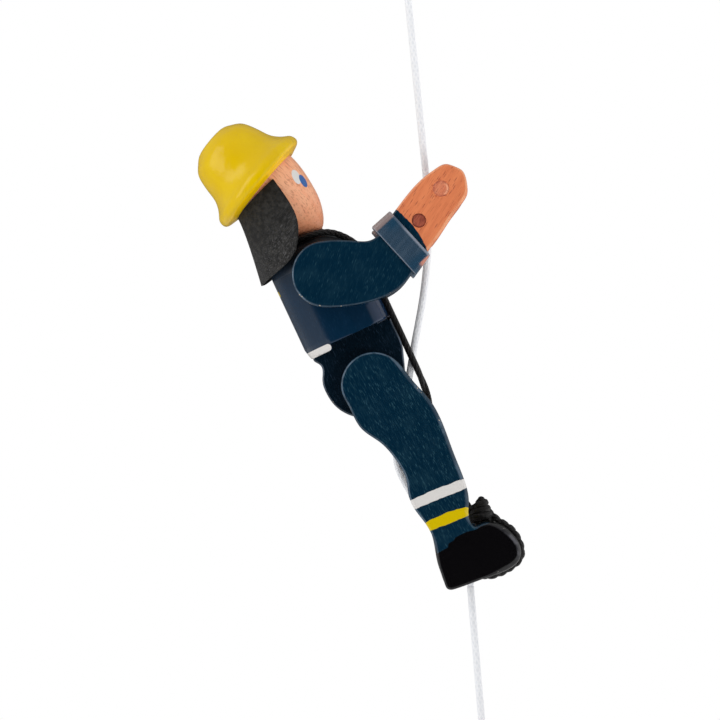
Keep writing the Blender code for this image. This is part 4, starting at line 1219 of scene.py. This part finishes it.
# %% [markdown]
# The cuffs are clear plastic with a smoky tint. Seen through two walls, the navy arm turns steel blue. A
# flat alpha does this well and survives export, where real refraction would not. The moulded rims catch
# light, so they are drawn paler, and the bare wood's edge shows through pink on the front side.

# %% Cuff finish
finish = Finish("cuff_finish")
x, _, z = finish.axes(((0.56, -128.81), 0.0), 47.4)
scuffs = finish.streaks(40.0, (1.6, 1.6, 9.0))
teal = x.rise(-3.0, -8.5) * z.rise(-3.0, 2.0) * 0.65 + x.rise(5.5, 9.0) * 0.5
rim = z.rise(3.4, 4.2) * (0.3 + 0.7 * x.rise(-7.0, -2.0)) + z.rise(-4.1, -4.55) * 0.6
smoke = coats(
    rgb(52, 74, 94),
    (rgb(76, 94, 112), scuffs.rise(0.4, 0.7) * 0.4),
    (rgb(16, 66, 94), teal),
    (rgb(160, 140, 136), x.rise(-9.6, -10.6) * 0.85),
    (rgb(226, 148, 124), x.rise(9.9, 10.6) * z.rise(-1.5, 0.5) * 0.9),
    (rgb(168, 174, 188), rim * 0.6),
)
alpha = (0.82 + rim * 0.1).least(1.0)
finish.dress(cuffs, scuffs, 0.02, Base_Color=smoke, Roughness=0.12 + scuffs * 0.12, Alpha=alpha)

# %% [markdown]
# Dowels are beech, cut across the grain at their ends, where the rays show as fine arcs. The upper one in
# the hand has a painted highlight on one side of its ring. The lower one in the hand is stained, darkest
# round its rim.

# %% Dowel finishes
finish = Finish("dowel_finish")
bare, bare_height = wood(finish, 57, MODEL, 0.5, rgb(224, 136, 100), rgb(212, 116, 82))
x, _, _ = finish.axes((UPPER_END, 0.0))
across = finish.from_line(*UPPER_END)
ring = between(across, 2.5, 3.1, 0.15) * finish.noise(0.8).rise(0.4, 0.55)
# painted highlight on the right side of the upper dowel's ring
ring_highlight = between(across, 2.3, 2.9, 0.2) * x.rise(0.6, 2.0) * 0.7
bare = coats(bare, (rgb(250, 176, 136), ring_highlight), (rgb(164, 70, 48), ring * 0.6))
plain_dowels = [dowel_upper, ankle_dowel, hip_axle, shoulder_axle]
finish.dress(plain_dowels, bare_height - ring, 0.08, Base_Color=bare, Roughness=0.4)

finish = Finish("stained_finish")
arcs = finish.streaks(30.0, (0.3, 0.5, 2.2), 3.0)
ragged = finish.from_line(*LOWER_END) + finish.noise(0.7)
dark_rim = (rgb(112, 44, 32), ragged.rise(2.6, 2.95) * 0.7)
colour = coats(rgb(168, 84, 60), (rgb(134, 58, 42), arcs.rise(0.4, 0.65)), dark_rim)
finish.dress([dowel_lower], arcs, 0.08, Base_Color=colour, Roughness=0.5)

# %% [markdown]
# Cord and elastic are braided, and the braid follows the piece, so their finishes read the piece's own UV
# map: how far round, and how far along in millimetres. The colour uses the same formula as the shape, the
# higher of cos(n a + k s) and cos(n a - k s), and is painted darker in the gaps, a painted shade between
# the strands.


# %% Cord finishes
def braided(name, pieces, pitch, thread, gap_shade_and_soil, roughness, sheen, strands=5):
    """A braided cord's finish: thread colour on the strands, a painted shade between them, and a little
    soil.
    """
    finish = Finish(name)
    around, along, _ = finish.split(finish.node("ShaderNodeUVMap", {"uv_map": "UVMap"}).outputs[0])
    a, s = around * (2 * math.pi * strands), along * (2 * math.pi / pitch)
    weave = finish.math("COSINE", a + s, 0.0).most(finish.math("COSINE", a - s, 0.0))
    fuzz = finish.noise(2.2)
    covered = (weave.rise(-0.5, 0.75) * 0.8 + fuzz * 0.4).least(1.0)
    # painted shade in the gaps between strands, and soil patches in the same darker colour
    colour = coats(gap_shade_and_soil, (thread, covered), (gap_shade_and_soil, finish.noise(0.25, 3.0).rise(0.55, 0.85) * 0.4))
    height = weave * 0.6 + fuzz * 0.5
    finish.dress(pieces, height, 0.12, Base_Color=colour, Roughness=roughness, Sheen_Weight=sheen)


white_pieces = [*cords.values(), hanging_loop, loop_knot, end_knot]
braided("cord_finish", white_pieces, 3.2, rgb(248, 249, 252), rgb(236, 239, 244), 0.6, 0.1)
black_pieces = [neck_loop, *strands, toe_loop]
braided("elastic_finish", black_pieces, 2.6, rgb(19, 17, 18), rgb(4, 3, 4), 0.5, 0.05)
braided("knot_finish", [instep_knot], 2.6, rgb(13, 12, 13), rgb(3, 3, 3), 0.55, 0.03)

# %% [markdown]
# The ball is red lacquer over turned beech, with its grain just showing, and the block between the toes is
# black like the boots.

# %% Ball and toe block finishes
finish = Finish("ball_finish")
red, red_height = lacquer(finish, 85, rgb(170, 22, 18), rgb(200, 60, 46), 0.3)
finish.dress([pull_ball], red_height, 0.03, Base_Color=red, Roughness=0.25)
finish = Finish("toe_finish")
black, black_height = lacquer(finish, 20, BLACK, rgb(40, 40, 44), 0.4)
finish.dress([toe_block], black_height, 0.04, Base_Color=black, Roughness=0.25)

# %% [markdown]
# ## Light and surroundings
#
# The photograph has a plain white background and soft light. The room is white to the camera and lights the
# figure from all round, but for a dark card where the camera stands, so the flat sides stay deep navy. In a
# mirror the room is dark, except for a bright wall on the right and a dim glow, which is fainter behind the
# figure and stops at the card.

# %% Room
world = bpy.data.worlds.new("world")
bpy.context.scene.world = world
world.use_nodes = True
room = Finish("room", world.node_tree)
ray = room.node("ShaderNodeLightPath")
camera_ray = Varying(room, ray.outputs["Is Camera Ray"])
glossy_ray = Varying(room, ray.outputs["Is Glossy Ray"])
clear_ray = Varying(room, ray.outputs["Is Transmission Ray"])
east, north, up = room.split(room.node("ShaderNodeTexCoord").outputs["Generated"])
ambient = 0.76 * (1 - 0.95 * north.rise(-0.8, -0.93))
glow = 0.4 * north.rise(-0.88, -0.5) * (1 - 0.65 * north.rise(0.5, 0.95))
mirror = 0.02 + glow + 0.68 * (east.rise(0.5, 0.9) * up.rise(0.5, 0.2))
seen = camera_ray.most(clear_ray)
level = seen + (1 - seen) * (glossy_ray * mirror + (1 - glossy_ray) * ambient)
backdrop = world.node_tree.nodes["Background"]
backdrop.inputs["Color"].default_value = (1, 1, 1, 1)
room.feed(backdrop.inputs["Strength"], level)
print("room of", len(world.node_tree.nodes), "nodes")

# %% [markdown]
# One soft box on the left is mirrored too, in the helmet and on the turned body. Two fills are not: they
# only brighten the right and the undersides, as a white table and wall would.

# %% Soft boxes
CENTRE = np.array([-0.015, 0.0, -0.17])


def softbox(name, azimuth, height, distance, wide, tall, share):
    """A soft box that adds a share of full light to a surface facing it: power = share pi^2 distance^2."""
    a = math.radians(azimuth)
    spot = CENTRE + distance * np.array([math.sin(a), -math.cos(a), 0]) + (0, 0, height)
    lamp = bpy.data.lights.new(name, "AREA")
    lamp.shape = "RECTANGLE"
    lamp.size, lamp.size_y = wide, tall
    lamp.energy = share * math.pi**2 * float(((spot - CENTRE) ** 2).sum())
    box = add_object(name, lamp)
    box.location = spot
    box.rotation_euler = Vector(CENTRE - spot).to_track_quat("-Z", "Y").to_euler()
    print(name, round(lamp.energy, 2), "W")
    return box


softbox("left_box", -60, 0.3, 1.1, 0.72, 1.1, 0.36)
softbox("right_fill", 100, 0.1, 1.1, 0.6, 1.0, 0.2).visible_glossy = False
softbox("low_fill", 30, -0.4, 1.2, 0.6, 0.6, 0.48).visible_glossy = False

# %% [markdown]
# A pale floor lies well below the figure, out of the photograph's view. It is part of the stage, not of
# the toy.

# %% Floor
FLOOR = [(-0.55, -0.6, -0.4), (0.5, -0.6, -0.4), (0.5, 0.48, -0.4), (-0.55, 0.48, -0.4)]
floor_mesh = bpy.data.meshes.new("floor")
floor_mesh.from_pydata(FLOOR, [], [(0, 1, 2, 3)])
floor = add_object("floor", floor_mesh)
Finish("floor_finish").dress([floor], Base_Color=rgb(236, 236, 236), Roughness=0.9)
